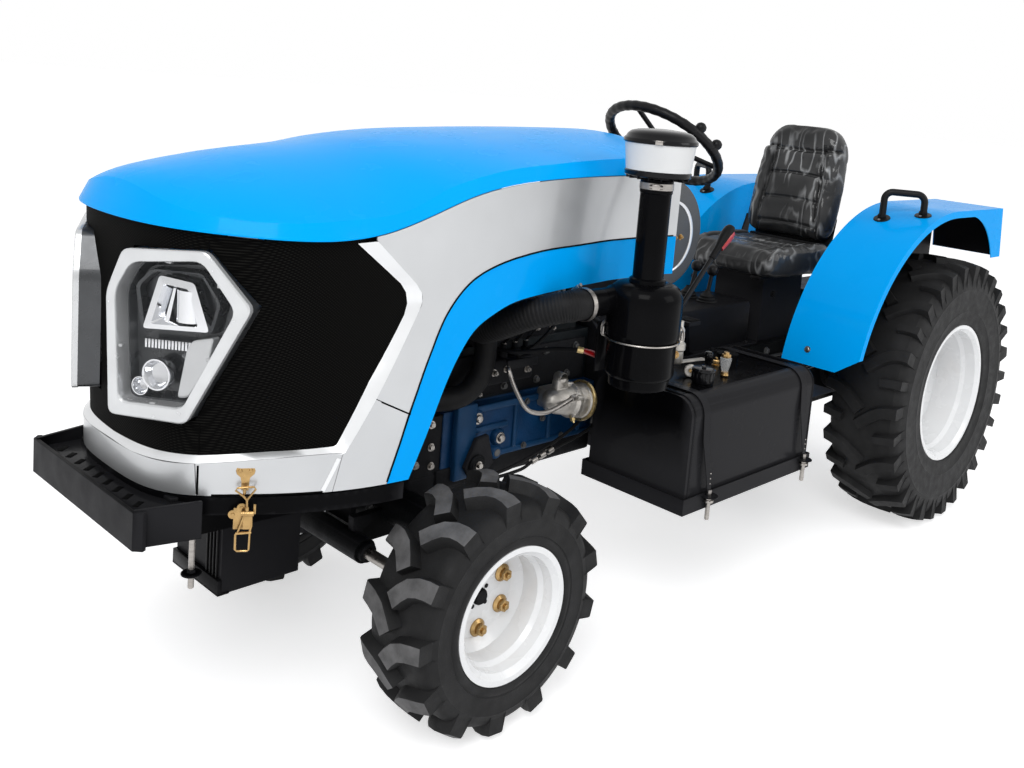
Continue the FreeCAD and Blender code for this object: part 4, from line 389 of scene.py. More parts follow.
class Kit:
    """Gathers many small shapes into one mesh."""

    def __init__(self):
        self.bm = bmesh.new()

    def grid(self, rows, closed_u=False, closed_v=False, caps=False):
        """Quads between the rows of points; caps close the first and the last row."""
        made = [[self.bm.verts.new(p) for p in row] for row in rows]
        nu, nv = len(made), len(made[0])
        for i in range(nu if closed_u else nu - 1):
            for j in range(nv if closed_v else nv - 1):
                k, n = (i + 1) % nu, (j + 1) % nv
                self.bm.faces.new((made[i][j], made[k][j], made[k][n], made[i][n]))
        if caps:
            self.bm.faces.new(made[0])
            self.bm.faces.new(made[-1])
        return made

    def ring_face(self, points):
        self.bm.faces.new([self.bm.verts.new(p) for p in points])

    def lathe(self, profile, centre, axis, steps=32):
        """profile is (radius, distance along the axis); ends with radius 0 are closed."""
        u, v, w = frame_of(axis)
        centre = Vector(centre)
        rings = []
        for radius, along in profile:
            spots = [u * cos(turn) + v * sin(turn) for turn in turns(steps)] if radius else [w * 0]
            rings.append([self.bm.verts.new(centre + w * along + p * radius) for p in spots])
        for a, b in zip(rings, rings[1:]):
            for k in range(steps):
                n = (k + 1) % steps
                if len(a) == 1:
                    self.bm.faces.new((a[0], b[n], b[k]))
                elif len(b) == 1:
                    self.bm.faces.new((a[k], a[n], b[0]))
                else:
                    self.bm.faces.new((a[k], a[n], b[n], b[k]))

    def tube(self, path, radius, sides=10):
        """A tube along the path; radius is a number or a function of the share of its length."""
        path = [Vector(p) for p in path]
        along = (path[1] - path[0]).normalized()
        u, v, _ = frame_of(along)
        rows = []
        for i, point in enumerate(path):
            ahead = path[min(i + 1, len(path) - 1)] - path[max(i - 1, 0)]
            ahead.normalize()
            turn = along.rotation_difference(ahead)
            u, v, along = turn @ u, turn @ v, ahead
            r = radius(i / (len(path) - 1)) if callable(radius) else radius
            rows.append([point + (u * cos(t) + v * sin(t)) * r for t in turns(sides)])
        self.grid(rows, closed_v=True, caps=True)

    def block(self, centre, size, axis=None, hint=None, soft=0.002):
        """A box whose edges are rounded; axis and hint turn its z and x."""
        u, v, w = frame_of(axis or (0, 0, 1), hint or (1, 0, 0))
        made = [self.bm.verts.new(Vector(centre) + u * size[0] * i / 2 + v * size[1] * j / 2
                                  + w * size[2] * k / 2)
                for i in (-1, 1) for j in (-1, 1) for k in (-1, 1)]
        faces = [self.bm.faces.new([made[i] for i in corners]) for corners in BOX_FACES]
        if soft:
            edges = list(dict.fromkeys(edge for face in faces for edge in face.edges))
            bmesh.ops.bevel(self.bm, geom=edges, offset=min(soft, min(size) * 0.4), segments=2,
                            affect="EDGES", profile=0.5)

    def plate(self, outline, origin, u, v, thick, soft=0.001):
        """A flat plate with the outline in the u-v plane, thickened along u x v."""
        u, v = Vector(u).normalized(), Vector(v).normalized()
        w = u.cross(v)
        rows = [[self.bm.verts.new(Vector(origin) + u * a + v * b + w * thick * side)
                 for a, b in outline] for side in (0, 1)]
        n = len(outline)
        faces = [self.bm.faces.new(rows[0][::-1]), self.bm.faces.new(rows[1])]
        for k in range(n):
            m = (k + 1) % n
            self.bm.faces.new((rows[0][k], rows[0][m], rows[1][m], rows[1][k]))
        rim = list(faces[0].edges) + list(faces[1].edges)
        bmesh.ops.bevel(self.bm, geom=rim, offset=soft, segments=1, affect="EDGES")

    def nut(self, place, axis, across, height, stud=0.0, washer=True):
        """A chamfered hexagon nut on a washer, with the stud's end."""
        u, v, w = frame_of(axis)
        base = Vector(place)
        if washer:
            thick = across * 0.1
            self.lathe([(across * 0.45, 0), (across * 0.78, 0), (across * 0.78, thick),
                        (0, thick)], base, w, 20)
            base = base + w * thick
        half = across * 0.577
        rows = [[base + w * height * share + (u * cos(t) + v * sin(t)) * half * reach
                 for t in turns(6)]
                for share, reach in ((0, 0.95), (0.08, 1), (0.88, 1), (1, 0.86))]
        made = self.grid(rows, closed_v=True)
        self.bm.faces.new(made[-1])
        if stud:
            r = across * 0.27
            self.lathe([(r, 0), (r, height + stud - r * 0.2), (r * 0.8, height + stud),
                        (0, height + stud)], base, w, 14)

    def bolt(self, place, axis, across):
        self.nut(place, axis, across, across * 0.42)

    def clamp(self, centre, axis, radius, width):
        """A worm-drive hose clamp: a thin band and its screw housing."""
        half, outside = width / 2, radius + 0.0012
        self.lathe([(radius, -half), (outside, -half), (outside, half), (radius, half)], centre,
                   axis, 40)
        u, v, w = frame_of(axis)
        out = (u * 0.8 + v * 0.6).normalized()
        spot = Vector(centre) + out * (radius + 0.005)
        self.block(spot, (0.02, width * 0.9, 0.009), axis=out, hint=w.cross(out))
        self.lathe([(0, -0.016), (0.0048, -0.016), (0.0048, 0.016), (0, 0.016)], spot,
                   w.cross(out), 10)

    def mesh(self, name):
        bmesh.ops.recalc_face_normals(self.bm, faces=self.bm.faces)
        mesh = bpy.data.meshes.new(name)
        self.bm.to_mesh(mesh)
        self.bm.free()
        return mesh

    def done(self, name, material, body="chassis", soft=35, replaces=(), second=None):
        """Makes the piece with its finish; second is for marked faces."""
        mesh = self.mesh(name)
        mesh.materials.append(material)
        if second:
            mesh.materials.append(second)
        mesh.shade_smooth()
        mesh.set_sharp_from_angle(angle=radians(soft))
        thing = bpy.data.objects.new(name, mesh)
        scene.collection.objects.link(thing)
        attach(thing, body)
        if replaces:
            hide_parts(*replaces)


def surface_of(*names):
    """A ray target made of CAD nodes."""
    verts, faces = [], []
    for name in names:
        mesh = nodes[name].data
        base = len(verts)
        world = nodes[name].matrix_world
        verts += [world @ v.co for v in mesh.vertices]
        faces += [[base + i for i in p.vertices] for p in mesh.polygons]
    return BVHTree.FromPolygons(verts, faces)


def paint(material, *names):
    """Gives the CAD's own nodes a finish."""
    for name in names:
        data = nodes[name].data
        data.materials.clear()
        data.materials.append(material)


def black_above(material, node, height):
    """The engine's upper part is sprayed black over its blue crankcase."""
    tree = material.node_tree
    p = tree.nodes["Principled BSDF"]
    coords = tree.nodes.new("ShaderNodeTexCoord")
    split = tree.nodes.new("ShaderNodeSeparateXYZ")
    tree.links.new(coords.outputs["Object"], split.inputs["Vector"])
    level = height - nodes[node].matrix_world.translation.z
    mix = tree.nodes.new("ShaderNodeMix")
    mix.data_type = "RGBA"
    tree.links.new(spread(tree, split.outputs["Z"], 0.0, 1.0, level, level + 0.004), mix.inputs[0])
    tree.links.new(p.inputs["Base Color"].links[0].from_socket, mix.inputs[6])
    mix.inputs[7].default_value = (0.006, 0.009, 0.011, 1)
    tree.links.new(mix.outputs[2], p.inputs["Base Color"])


make_camera()
black_above(ENGINE_BLOCK, "engine_block", 0.622)
paint(BLUE, "bonnet_top", "arch_trims", "fender_left", "fender_right")
paint(SILVER, "bonnet_sides", "nose_band")
paint(MESH, "grille")
paint(BEZEL, "headlights")
paint(BRASS, "bonnet_latches")
paint(WHITE, "front_rim_left", "front_rim_right", "rear_rim_left", "rear_rim_right")
paint(FRAME_BLACK, "front_frame", "front_bumper", "battery_box", "tank_tray", "footboards",
      "seat_base", "lower_links", "drawbar", "pedals")
paint(BLACK, "fuel_tank", "air_cleaner")
paint(CAST, "front_axle", "knuckle_left", "knuckle_right", "steering_cylinder", "transmission",
      "rear_axle", "lift_case", "lift_arms", "exhaust")
paint(ENGINE_BLOCK, "engine_block")
paint(RADIATOR, "radiator")
paint(STEEL, "steering_rod", "lift_rods")
paint(WHITE, "pre_cleaner")
paint(HOSE, "intake_hose")
paint(GREY_PLASTIC, "dash_console")
paint(WHEEL_BLACK, "steering_wheel", "control_levers", "grab_handles")
paint(VINYL, "seat_cushion", "seat_back")
paint(RUBBER, "front_tyre_left", "front_tyre_right", "rear_tyre_left", "rear_tyre_right")


# ------------------------------------------------------------------ tyres and wheels

def tyre(node, rim_radius, bead, lugs, height, kinds, body):
    """Carcass with ribbed sidewalls and two rows of bent lugs that meet in turn.

    kinds holds (lug width, [(share of the half width, lead in lug pitches)]), used in turn."""
    low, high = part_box(node)
    centre = (Vector(low) + Vector(high)) / 2
    radius = (high[2] - low[2]) / 2
    half = (high[1] - low[1]) / 2
    crown = radius - height
    rise = crown - rim_radius

    def around(turn, r, y):
        return centre + upright(turn) * r + Y * y

    kit = Kit()
    side = [(rim_radius + r, bead + y) for r, y in (
        (-0.014, -0.016), (-0.002, -0.004), (0.004, 0.004), (0.01, 0.0065), (0.016, 0.006))]
    side += [(rim_radius + rise * r, half * y) for r, y in (
        (0.22, 0.955), (0.25, 0.975), (0.28, 0.968), (0.45, 0.992), (0.6, 0.985), (0.63, 0.998),
        (0.66, 0.985), (0.78, 0.955), (0.88, 0.9), (0.95, 0.8), (0.985, 0.62), (0.998, 0.32))]
    tread = [(crown, 0.0)] + side[::-1]
    profile = side[:] + [(crown, 0.0)] + [(r, -y) for r, y in reversed(side)]
    profile += [(rim_radius - 0.018, 0.02 - bead), (rim_radius - 0.018, bead - 0.02)]
    kit.grid([[around(turn, r, y) for r, y in profile] for turn in turns(112)],
             closed_u=True, closed_v=True)

    def floor_at(y):
        """The carcass radius at a distance from the tyre's middle."""
        for (r0, w0), (r1, w1) in zip(tread[:7], tread[1:7]):
            if w0 <= y <= w1:
                return r0 + (r1 - r0) * (y - w0) / max(1e-6, w1 - w0)
        return tread[6][0]

    pitch = tau / lugs
    for row, index in product((1, -1), range(lugs)):
        width, lay = kinds[index % len(kinds)]
        start = pitch * (index + (0.5 if row < 0 else 0.0))
        spots = [(half * share, start - lead * pitch) for share, lead in lay]
        last = len(spots) - 1
        rings = []
        for i, (y, turn) in enumerate(spots):
            share = lay[i][0]
            shoulder = max(0.0, (share - 0.72) / 0.265)
            top = radius - 0.0022 - 0.012 * abs(share) ** 3 - height * 0.1 * shoulder
            foot = min(top - 0.006, floor_at(abs(y)) - 0.006)
            ahead, behind = spots[min(i + 1, last)], spots[max(i - 1, 0)]
            across = Vector((ahead[0] - behind[0], (ahead[1] - behind[1]) * radius)).normalized()
            flare = 1.0 + 0.12 * i / last
            cut = []
            for offset, level in ((-0.66, foot), (-0.5, top - 0.004), (-0.44, top),
                                  (0.44, top), (0.5, top - 0.004), (0.66, foot)):
                reach = offset * width * flare
                yy = max(-half, min(half, (y - across.y * reach) * row))
                cut.append(around(turn + across.x * reach / radius, level, yy))
            rings.append(cut)
        made = kit.grid(rings)
        kit.bm.faces.ensure_lookup_table()
        for face in kit.bm.faces[-5 * last:][2::5]:
            face.material_index = 1
        kit.bm.faces.new(made[0])
        feet = [kit.bm.verts.new(around(spots[-1][1] + offset * width * 1.1 / radius,
                                        rim_radius + rise * 0.7, row * half * 0.955))
                for offset in (-0.62, -0.55, -0.5, 0.5, 0.55, 0.62)]
        for k in range(5):
            kit.bm.faces.new((made[-1][k], made[-1][k + 1], feet[k + 1], feet[k]))
    tops = LUG_TOP if height > 0.025 else RUBBER
    kit.done(node + "_tread", RUBBER, body, soft=28, replaces=(node,), second=tops)


LUG_END = [(0.8, 0.0), (0.985, 0.0)]
FRONT_LUGS = [(0.042, [(-0.02, 0.39), (0.16, 0.23), (0.34, 0.1), (0.58, 0.025)] + LUG_END)]
REAR_LUGS = [(0.036, [(-0.02, 0.68), (0.2, 0.42), (0.4, 0.2), (0.6, 0.06)] + LUG_END),
             (0.028, [(0.45, 0.06), (0.6, 0.03)] + LUG_END)]


def wheel_trim(end, side, way, face, circle, hub):
    """Six brass nuts on cone washers, the hub in the disc's middle and a tyre valve."""
    spin = f"{end}_wheel_{side}"
    axle = middle(f"{end}_tyre_{side}")
    out = Y * way
    spot = Vector((axle.x, way * face, axle.z))
    nuts, boss, valve = Kit(), Kit(), Kit()
    for k in range(6):
        place = spot + upright(tau * (k / 6 + 0.25)) * circle
        nuts.lathe([(0.021, -0.001), (0.021, 0.003), (0.0145, 0.008), (0, 0.008)], place, out, 24)
        nuts.nut(place + out * 0.0075, out, 0.025, 0.014, stud=0.006, washer=False)
    nuts.done(f"{end}_wheel_nuts_{side}", BRASS, spin)
    boss.lathe([(hub, -0.016), (hub * 0.96, -0.012), (hub * 0.8, -0.012), (hub * 0.76, -0.004),
                (hub * 0.46, -0.003), (hub * 0.43, 0.006), (hub * 0.36, 0.01), (0, 0.01)],
               spot, out, 40)
    for k in range(4):
        turn = upright(tau * (k + 0.5) / 4)
        boss.bolt(spot - out * 0.0035 + turn * hub * 0.62, out, 0.01)
    boss.done(f"{end}_wheel_hub_{side}", CAST, spin)
    seat = spot + Vector((0.852, 0, -1.136)) * circle
    valve.tube([seat - out * 0.004, seat + out * 0.016], 0.0045, 12)
    valve.done(f"{end}_wheel_valve_{side}", BLACK_PLASTIC, spin)


for side, way in SIDES:
    tyre(f"front_tyre_{side}", 0.158, 0.094, 13, 0.03, FRONT_LUGS, f"front_wheel_{side}")
    tyre(f"rear_tyre_{side}", 0.247, 0.116, 30, 0.022, REAR_LUGS, f"rear_wheel_{side}")
    wheel_trim("front", side, way, 0.43, 0.076, 0.044)
    wheel_trim("rear", side, way, 0.44, 0.098, 0.06)


# ------------------------------------------------------------------ bonnet's edges and seams

PANELS = surface_of("bonnet_sides", "nose_band", "arch_trims", "bonnet_top")
WEAVE = surface_of("grille")
NOSE_HUB = 0.45


def shell_point(target, dx, z, way, turn=None, probe=(0.0, 0.0)):
    """The bonnet's outside at a station ahead of the front axle, or at a turn round the nose.

    probe shifts the ray, so that an opening's edge takes the panel beside it."""
    for reach in (1, 2, 4, 7, 11):
        if turn is None:
            start = Vector((FX + dx + probe[0] * reach, way * 0.8, z + probe[1] * reach))
            hit = target.ray_cast(start, Vector((0, -way, 0)))[0]
            if hit:
                return Vector((FX + dx, hit.y, z))
        else:
            out = Vector((cos(turn), sin(turn) * way, 0))
            start = Vector((FX + NOSE_HUB, 0, z + probe[1] * reach)) + out * 0.8
            hit = target.ray_cast(start, -out, 0.6)[0]
            if hit:
                return Vector((hit.x, hit.y, z))
    return None


def between(a, b, count):
    """Points spaced evenly from a up to, but not including, b."""
    return [tuple(p + (q - p) * k / count for p, q in zip(a, b)) for k in range(count)]


OUTER = [(0.321, 1.115), (0.221, 1.023), (0.206, 1.003), (0.203, 0.985), (0.209, 0.968),
         (0.299, 0.789), (0.355, 0.684), (0.362, 0.6805), (0.483, 0.68), (0.594, 0.668)]
INNER = [(0.358, 1.11), (0.251, 1.024), (0.236, 1.004), (0.231, 0.98), (0.237, 0.955),
         (0.309, 0.825), (0.366, 0.697), (0.37, 0.6945), (0.484, 0.69), (0.594, 0.68)]
GRILLE_MIDDLE = (0.47, 0.92)
SEAM_TURN = radians(58.5)


def bevel_strip():
    """The pale slanted edge between the silver panels and the sunken mesh, all the way round."""
    kit = Kit()
    half = []
    for (a, b), (c, d) in zip(zip(OUTER, OUTER[1:]), zip(INNER, INNER[1:])):
        count = max(1, round(dist(a, b) / 0.03))
        for (x0, z0), (x1, z1) in zip(between(a, b, count), between(c, d, count)):
            away = Vector((x0 - GRILLE_MIDDLE[0], z0 - GRILLE_MIDDLE[1])).normalized() * 0.004
            half.append((x0, z0, x1, z1, away))
    rows = []
    for way in (1, -1):
        run = []
        for x0, z0, x1, z1, away in half:
            outer = shell_point(PANELS, x0, z0, way, probe=away)
            inner = shell_point(WEAVE, x1, z1, way, probe=-away)
            run.append((outer, inner))
        rows.append(run)
    nose = []
    count = 36
    for k in range(count + 1):
        turn = SEAM_TURN * (1 - 2 * k / count)
        share = abs(turn) / SEAM_TURN
        way = 1 if turn >= 0 else -1
        outer = shell_point(PANELS, 0, 0.66 + 0.008 * share, way, abs(turn), (0, -0.005))
        inner = shell_point(WEAVE, 0, 0.673 + 0.007 * share, way, abs(turn), (0, 0.005))
        nose.append((outer, inner))
    ring = []
    for outer, inner in rows[0] + nose + rows[1][::-1]:
        inward = Vector((inner.x - outer.x, inner.y - outer.y, 0))
        inward = inward.normalized() * 0.003 if inward.length > 1e-5 else Vector((0, 0, 0))
        ring.append([outer, inner, inner + inward, outer + inward * 1.6])
    kit.grid(ring, closed_v=True, caps=True)
    kit.done("grille_bevel", SILVER_EDGE, "bonnet", soft=40)


def surface_strip(kit, target, points, width, stand, way=1):
    """A flat strip laid along the bonnet's surface; points are (dx, z) or (None, z, turn)."""
    spots = []
    for p in points:
        turn = p[2] if len(p) > 2 else None
        spot = shell_point(target, p[0] or 0, p[1], way, turn, (0, 0.004))
        if spot:
            spots.append(spot)
    rows = []
    for i, spot in enumerate(spots):
        along = (spots[min(i + 1, len(spots) - 1)] - spots[max(i - 1, 0)]).normalized()
        middle_line = Vector((FX + 0.2, 0, spot.z))
        out = Vector((spot.x - middle_line.x, spot.y - middle_line.y, 0)).normalized()
        out = (out - along * out.dot(along)).normalized()
        across = along.cross(out) * width / 2
        rows.append([spot - across - out * 0.001, spot - across * 0.8 + out * stand,
                     spot + across * 0.8 + out * stand, spot + across - out * 0.001])
    kit.grid(rows, closed_v=True, caps=True)


def seams():
    """Dark joints between panels, and painted highlights on the folded creases beside them."""
    dark, bright = Kit(), Kit()
    joints = [(PANELS, 0.604, 0.06, 6, SEAM_TURN, 0.0045),
              (WEAVE, 0.684, 0.06, 5, SEAM_TURN, 0.003),
              (WEAVE, 1.088, 0.022, 3, SEAM_TURN + 0.02, 0.003)]
    leg = between((0.286, 0.782), (0.214, 0.745), 6) + [(0.214, 0.745)]
    crease = between((0.3625, 0.686), (0.392, 0.606), 6) + [(0.392, 0.606)]
    rim = [(x, z - 0.0035) for x, z in between((0.392, 0.607), (0.59, 0.607), 14)]
    for way in (1, -1):
        for target, foot, rise, count, turn, wide in joints:
            line = [(None, foot + rise * k / count, turn) for k in range(count + 1)]
            surface_strip(dark, target, line, wide, 0.0006, way)
        surface_strip(dark, PANELS, leg, 0.004, 0.0006, way)
        # painted highlight: a strip of pale silver laid along each crease
        surface_strip(bright, PANELS, crease, 0.01, 0.0012, way)
        surface_strip(dark, PANELS, rim, 0.004, 0.0006, way)
    dark.done("bonnet_seams", SEAM, "bonnet")
    bright.done("bonnet_crease_highlights", SILVER_EDGE, "bonnet")


def arch_line():
    """The dark joint between the blue arches and the silver side panels.

    Each ray from the arch's hub is followed outward to the last place where blue turns silver."""
    trims, sides = surface_of("arch_trims"), surface_of("bonnet_sides")
    kit = Kit()
    rays, steps, step_size, lap = 140, 300, 0.0024, 0.0001

    def spot(turn, r):
        return -0.15 + r * cos(turn), 0.62 + r * sin(turn)

    def blue_first(dx, z, way):
        """Whether a ray from the side meets the blue first; None where it meets neither."""
        start = Vector((FX + dx, way * 0.8, z))
        near, far = (panel.ray_cast(start, -Y * way, 0.79)[3] for panel in (trims, sides))
        if near is None:
            return None if far is None else False
        return far is None or near <= far + lap

    for way in (1, -1):
        line = []
        for ray in range(rays):
            turn = radians(-3 + 150 * ray / (rays - 1))
            seen, last = None, None
            for k in range(steps):
                r = 0.12 + step_size * k
                here = blue_first(*spot(turn, r), way)
                if last is True and here is False:
                    seen = r - step_size / 2
                last = last if here is None else here
            if seen:
                line.append(spot(turn, seen + 0.0008))
        smooth = []
        for k in range(len(line)):
            reach = min(3, k, len(line) - 1 - k)
            near = line[k - reach:k + reach + 1]
            smooth.append(tuple(sum(p[i] for p in near) / len(near) for i in (0, 1)))
        if len(smooth) > 4:
            surface_strip(kit, PANELS, smooth, 0.0046, 0.001, way)
    kit.done("arch_joints", SEAM, "bonnet")


bevel_strip()
seams()
arch_line()


# ------------------------------------------------------------------ headlamps

def rounded(outline, cut, steps=4):
    """The outline with each corner replaced by a small curve."""
    points = []
    n = len(outline)
    for i, p in enumerate(outline):
        p = Vector(p)
        before, after = Vector(outline[i - 1]), Vector(outline[(i + 1) % n])
        a = p + (before - p).normalized() * min(cut, (before - p).length * 0.45)
        b = p + (after - p).normalized() * min(cut, (after - p).length * 0.45)
        for k in range(steps + 1):
            t = k / steps
            points.append(a * (1 - t) ** 2 + p * 2 * t * (1 - t) + b * t * t)
    return points


LAMP_OUT = [(-0.075, 1.074), (0.105, 1.089), (0.192, 0.986), (0.074, 0.75), (-0.098, 0.745),
            (-0.11, 0.986)]
LAMP_IN = [(-0.056, 1.048), (0.095, 1.067), (0.161, 0.979), (0.064, 0.78), (-0.076, 0.773),
           (-0.09, 0.989)]


def headlamp(side, way):
    """Hexagon bezel, dark bowl, chrome projector, ribbed strip, round low lamp and clear cover."""
    lean = radians(28)
    out = Vector((cos(lean), sin(lean) * way, 0))
    across = Vector((-sin(lean), cos(lean) * way, 0))
    base = at(2.745, 0.171 * way, 0)

    def spot(u, z, depth):
        bend = 1.7 * max(0.0, u - 0.07) ** 2
        return base + across * u + Z * z + out * (depth - bend)

    def loop(outline, depth, scale=1.0):
        u0 = sum(p[0] for p in outline) / len(outline)
        z0 = sum(p[1] for p in outline) / len(outline)
        return [spot(u0 + (u - u0) * scale, z0 + (z - z0) * scale, depth) for u, z in outline]

    def stack(kit, outline, *rings, lid=False):
        """Rings of (depth, scale) around an outline, with a lid on the last if asked."""
        loops = [loop(outline, *ring) for ring in rings]
        kit.grid(loops, closed_v=True)
        if lid:
            kit.ring_face(loops[-1])

    outer, inner = rounded(LAMP_OUT, 0.016), rounded(LAMP_IN, 0.02)
    bezel, bowl, chrome, pale, lens = (Kit() for _ in range(5))
    bezel.grid([loop(inner, -0.03), loop(inner, 0.002), loop(inner, 0.0065, 1.02),
                loop(outer, 0.0085, 0.985), loop(outer, 0.0065), loop(outer, -0.004)],
               closed_v=True)
    for a, b in zip(LAMP_IN, LAMP_IN[1:]):
        u, z = (a[0] + b[0]) / 2, (a[1] + b[1]) / 2
        bezel.block(spot(u, z, -0.006), (0.012, 0.006, 0.01), out, across, 0.001)
    bezel.done(f"lamp_bezel_{side}", BEZEL, "bonnet", soft=30, replaces=("headlights",))
    stack(bowl, outer, (-0.0035, 0.992), (-0.046, 0.992))
    stack(bowl, inner, (-0.028, 1.03), (-0.03, 0.98), (-0.044, 0.9), (-0.0455, 0.4), lid=True)
    step = rounded([(-0.066, 1.000), (-0.03, 1.035), (0.08, 1.04), (0.12, 0.985),
                    (0.104, 0.925), (-0.05, 0.915)], 0.012)
    stack(bowl, step, (-0.043, 1.06), (-0.022, 1), (-0.024, 0.92), (-0.04, 0.9))
    bowl.done(f"lamp_bowl_{side}", LAMP_DARK, "bonnet", soft=30)
    a = rounded([(-0.041, 0.919), (-0.007, 1.027), (0.07, 1.021), (0.104, 0.93)], 0.008)
    b = rounded([(-0.022, 0.93), (0.004, 1.012), (0.058, 1.008), (0.082, 0.938)], 0.006)
    chrome.grid([loop(a, -0.036), loop(a, -0.013), loop(b, -0.011), loop(b, -0.034, 0.72)],
                closed_v=True)
    chrome.grid([[spot(0.052 + 0.027 * cos(t), z, -0.03 + 0.022 * sin(t))
                  for z in (1.004, 0.972, 0.942)]
                 for t in [pi * (0.05 + 0.9 * k / 12) for k in range(13)]])
    chrome.plate([(-0.006, 0.934), (0.004, 0.934), (0.018, 1.004), (0.012, 1.004)],
                 spot(0.006, 0, -0.034), across, Z, 0.012, 0.0008)
    for u, z, r, front in ((-0.003, 0.833, 0.032, -0.006), (-0.044, 0.803, 0.019, -0.014)):
        chrome.lathe([(r * 0.8, -0.03), (r * 0.96, -0.026), (r, front - 0.004),
                      (r * 0.97, front), (r * 0.88, front), (r * 0.8, front - 0.004),
                      (r * 0.62, front - 0.016), (0, front - 0.02)], spot(u, z, 0), out, 36)
    for k in range(15):
        chrome.block(spot(-0.037 + 0.104 * k / 14, 0.889 + 0.006 * k / 14, -0.024),
                     (0.0052, 0.018, 0.01), out, across, 0.0012)
    chrome.done(f"lamp_chrome_{side}", CHROME, "bonnet", soft=34)
    facet = rounded([(0.11, 0.919), (0.066, 0.908), (0.054, 0.89), (0.036, 0.79),
                     (0.06, 0.794), (0.1, 0.86)], 0.008)
    stack(pale, facet, (-0.04, 1), (-0.02, 1), (-0.0185, 0.94), lid=True)
    pale.done(f"lamp_facet_{side}", BEZEL, "bonnet", soft=34)
    for u, z, r, front in ((-0.003, 0.833, 0.027, -0.008), (-0.044, 0.803, 0.015, -0.016)):
        lens.lathe([(r, front - 0.006), (r * 0.97, front - 0.001), (r * 0.7, front + 0.003),
                    (0, front + 0.005)], spot(u, z, 0), out, 32)
    stack(lens, inner, (0.0025, 1.02), (0.0045, 0.99), (0.0075, 0.7), (0.0085, 0.35), lid=True)
    lens.done(f"lamp_glass_{side}", GLASS, "bonnet", soft=60)


for side, way in SIDES:
    headlamp(side, way)


# ------------------------------------------------------------------ draw latches under the nose

LATCH_SCALE, LATCH_DROP = 1.08, 0.009


def draw_latch(side, way):
    """Catch plate and hook on the band; base, spring rod and wire handle on the frame."""
    spot = shell_point(PANELS, 0.525, 0.64, way)
    ahead = shell_point(PANELS, 0.545, 0.64, way)
    along = (ahead - spot).normalized()
    out = along.cross(Z)
    if out.y * way < 0:
        out = -out

    def place(a, z, depth):
        return Vector((spot.x, spot.y, 0)) + along * a + Z * z + out * depth

    def low(a, z, depth):
        """A place on the base, which is scaled from the band's edge and lowered."""
        edge = 0.6
        return place(a * LATCH_SCALE, edge + (z - edge) * LATCH_SCALE - LATCH_DROP, depth)

    catch = Kit()
    half = [(0.007, 0.615), (0.0075, 0.634), (0.009, 0.642), (0.0165, 0.648), (0.0185, 0.655),
            (0.017, 0.661), (0.012, 0.664)]
    ears = half + [(-a, z) for a, z in reversed(half)]
    facing = 1 if along.cross(Z).dot(out) > 0 else -1
    catch.plate(ears, place(0, 0, 0.0002), along * facing, Z, 0.0016, 0.0004)
    for a in (-0.01, 0.01):
        catch.lathe([(0.0042, 0), (0.0036, 0.0016), (0.002, 0.0024), (0, 0.0026)],
                    place(a, 0.655, 0.0018), out, 16)
    catch.tube(flow([place(0, z, depth) for z, depth in (
        (0.622, 0.001), (0.617, 0.007), (0.612, 0.01), (0.618, 0.013), (0.623, 0.012))], 4),
        0.0032, 8)
    catch.done(f"latch_catch_{side}", BRASS, "bonnet", replaces=("bonnet_latches",))
    base = Kit()
    for a, z, depth, size, soft in (
            (0.006, 0.57, 0.004, (0.026, 0.044, 0.003), 0.001),
            (-0.007, 0.568, 0.012, (0.017, 0.032, 0.009), 0.002),
            (-0.019, 0.59, 0.01, (0.005, 0.02, 0.004), 0.001)):
        base.block(low(a, z, depth), size, out, along, soft)
    for a, z in ((0.019, 0.578), (0.004, 0.5905)):
        base.lathe([(0, 0), (0.009, 0), (0.009, 0.0028), (0.007, 0.0034), (0, 0.0034)],
                   low(a, z, 0.0025), out, 24)
        base.lathe([(0.004, 0), (0.0034, 0.0016), (0, 0.0024)], low(a, z, 0.0058), out, 14)
    for wire, radius, sides in (
            (((0.004, 0.5835, 0.015), (-0.018, 0.5835, 0.015)), 0.0052, 14),
            (((-0.006, 0.5835, 0.015), (-0.005, 0.608, 0.013)), 0.0024, 10),
            (((-0.006, 0.588, 0.0148), (-0.0056, 0.596, 0.0142)), 0.004, 10),
            (((-0.005, 0.608, 0.013), (-0.012, 0.618, 0.0125), (-0.0195, 0.628, 0.012),
              (-0.0165, 0.6325, 0.0118), (0.0125, 0.6305, 0.0118), (0.0155, 0.626, 0.012),
              (0.002, 0.616, 0.0125), (-0.005, 0.608, 0.013)), 0.0021, 8),
            (((-0.0145, 0.58, 0.015), (-0.015, 0.56, 0.0155), (-0.012, 0.548, 0.016),
              (-0.0125, 0.544, 0.016), (-0.012, 0.516, 0.0165), (-0.009, 0.513, 0.0165),
              (0.009, 0.513, 0.0165), (0.012, 0.516, 0.0165), (0.0125, 0.544, 0.016),
              (0.009, 0.548, 0.016), (-0.001, 0.58, 0.015)), 0.0022, 8),
            (((0.012, 0.546, 0.016), (-0.015, 0.548, 0.016)), 0.0026, 8)):
        base.tube([low(*p) for p in wire], radius, sides)
    base.done(f"latch_lever_{side}", BRASS)


for side, way in SIDES:
    draw_latch(side, way)


# ------------------------------------------------------------------ air cleaner and hose

CLEANER = at(1.645, 0.475, 0)
HOSE_START = at(1.82, 0.428, 0.938)


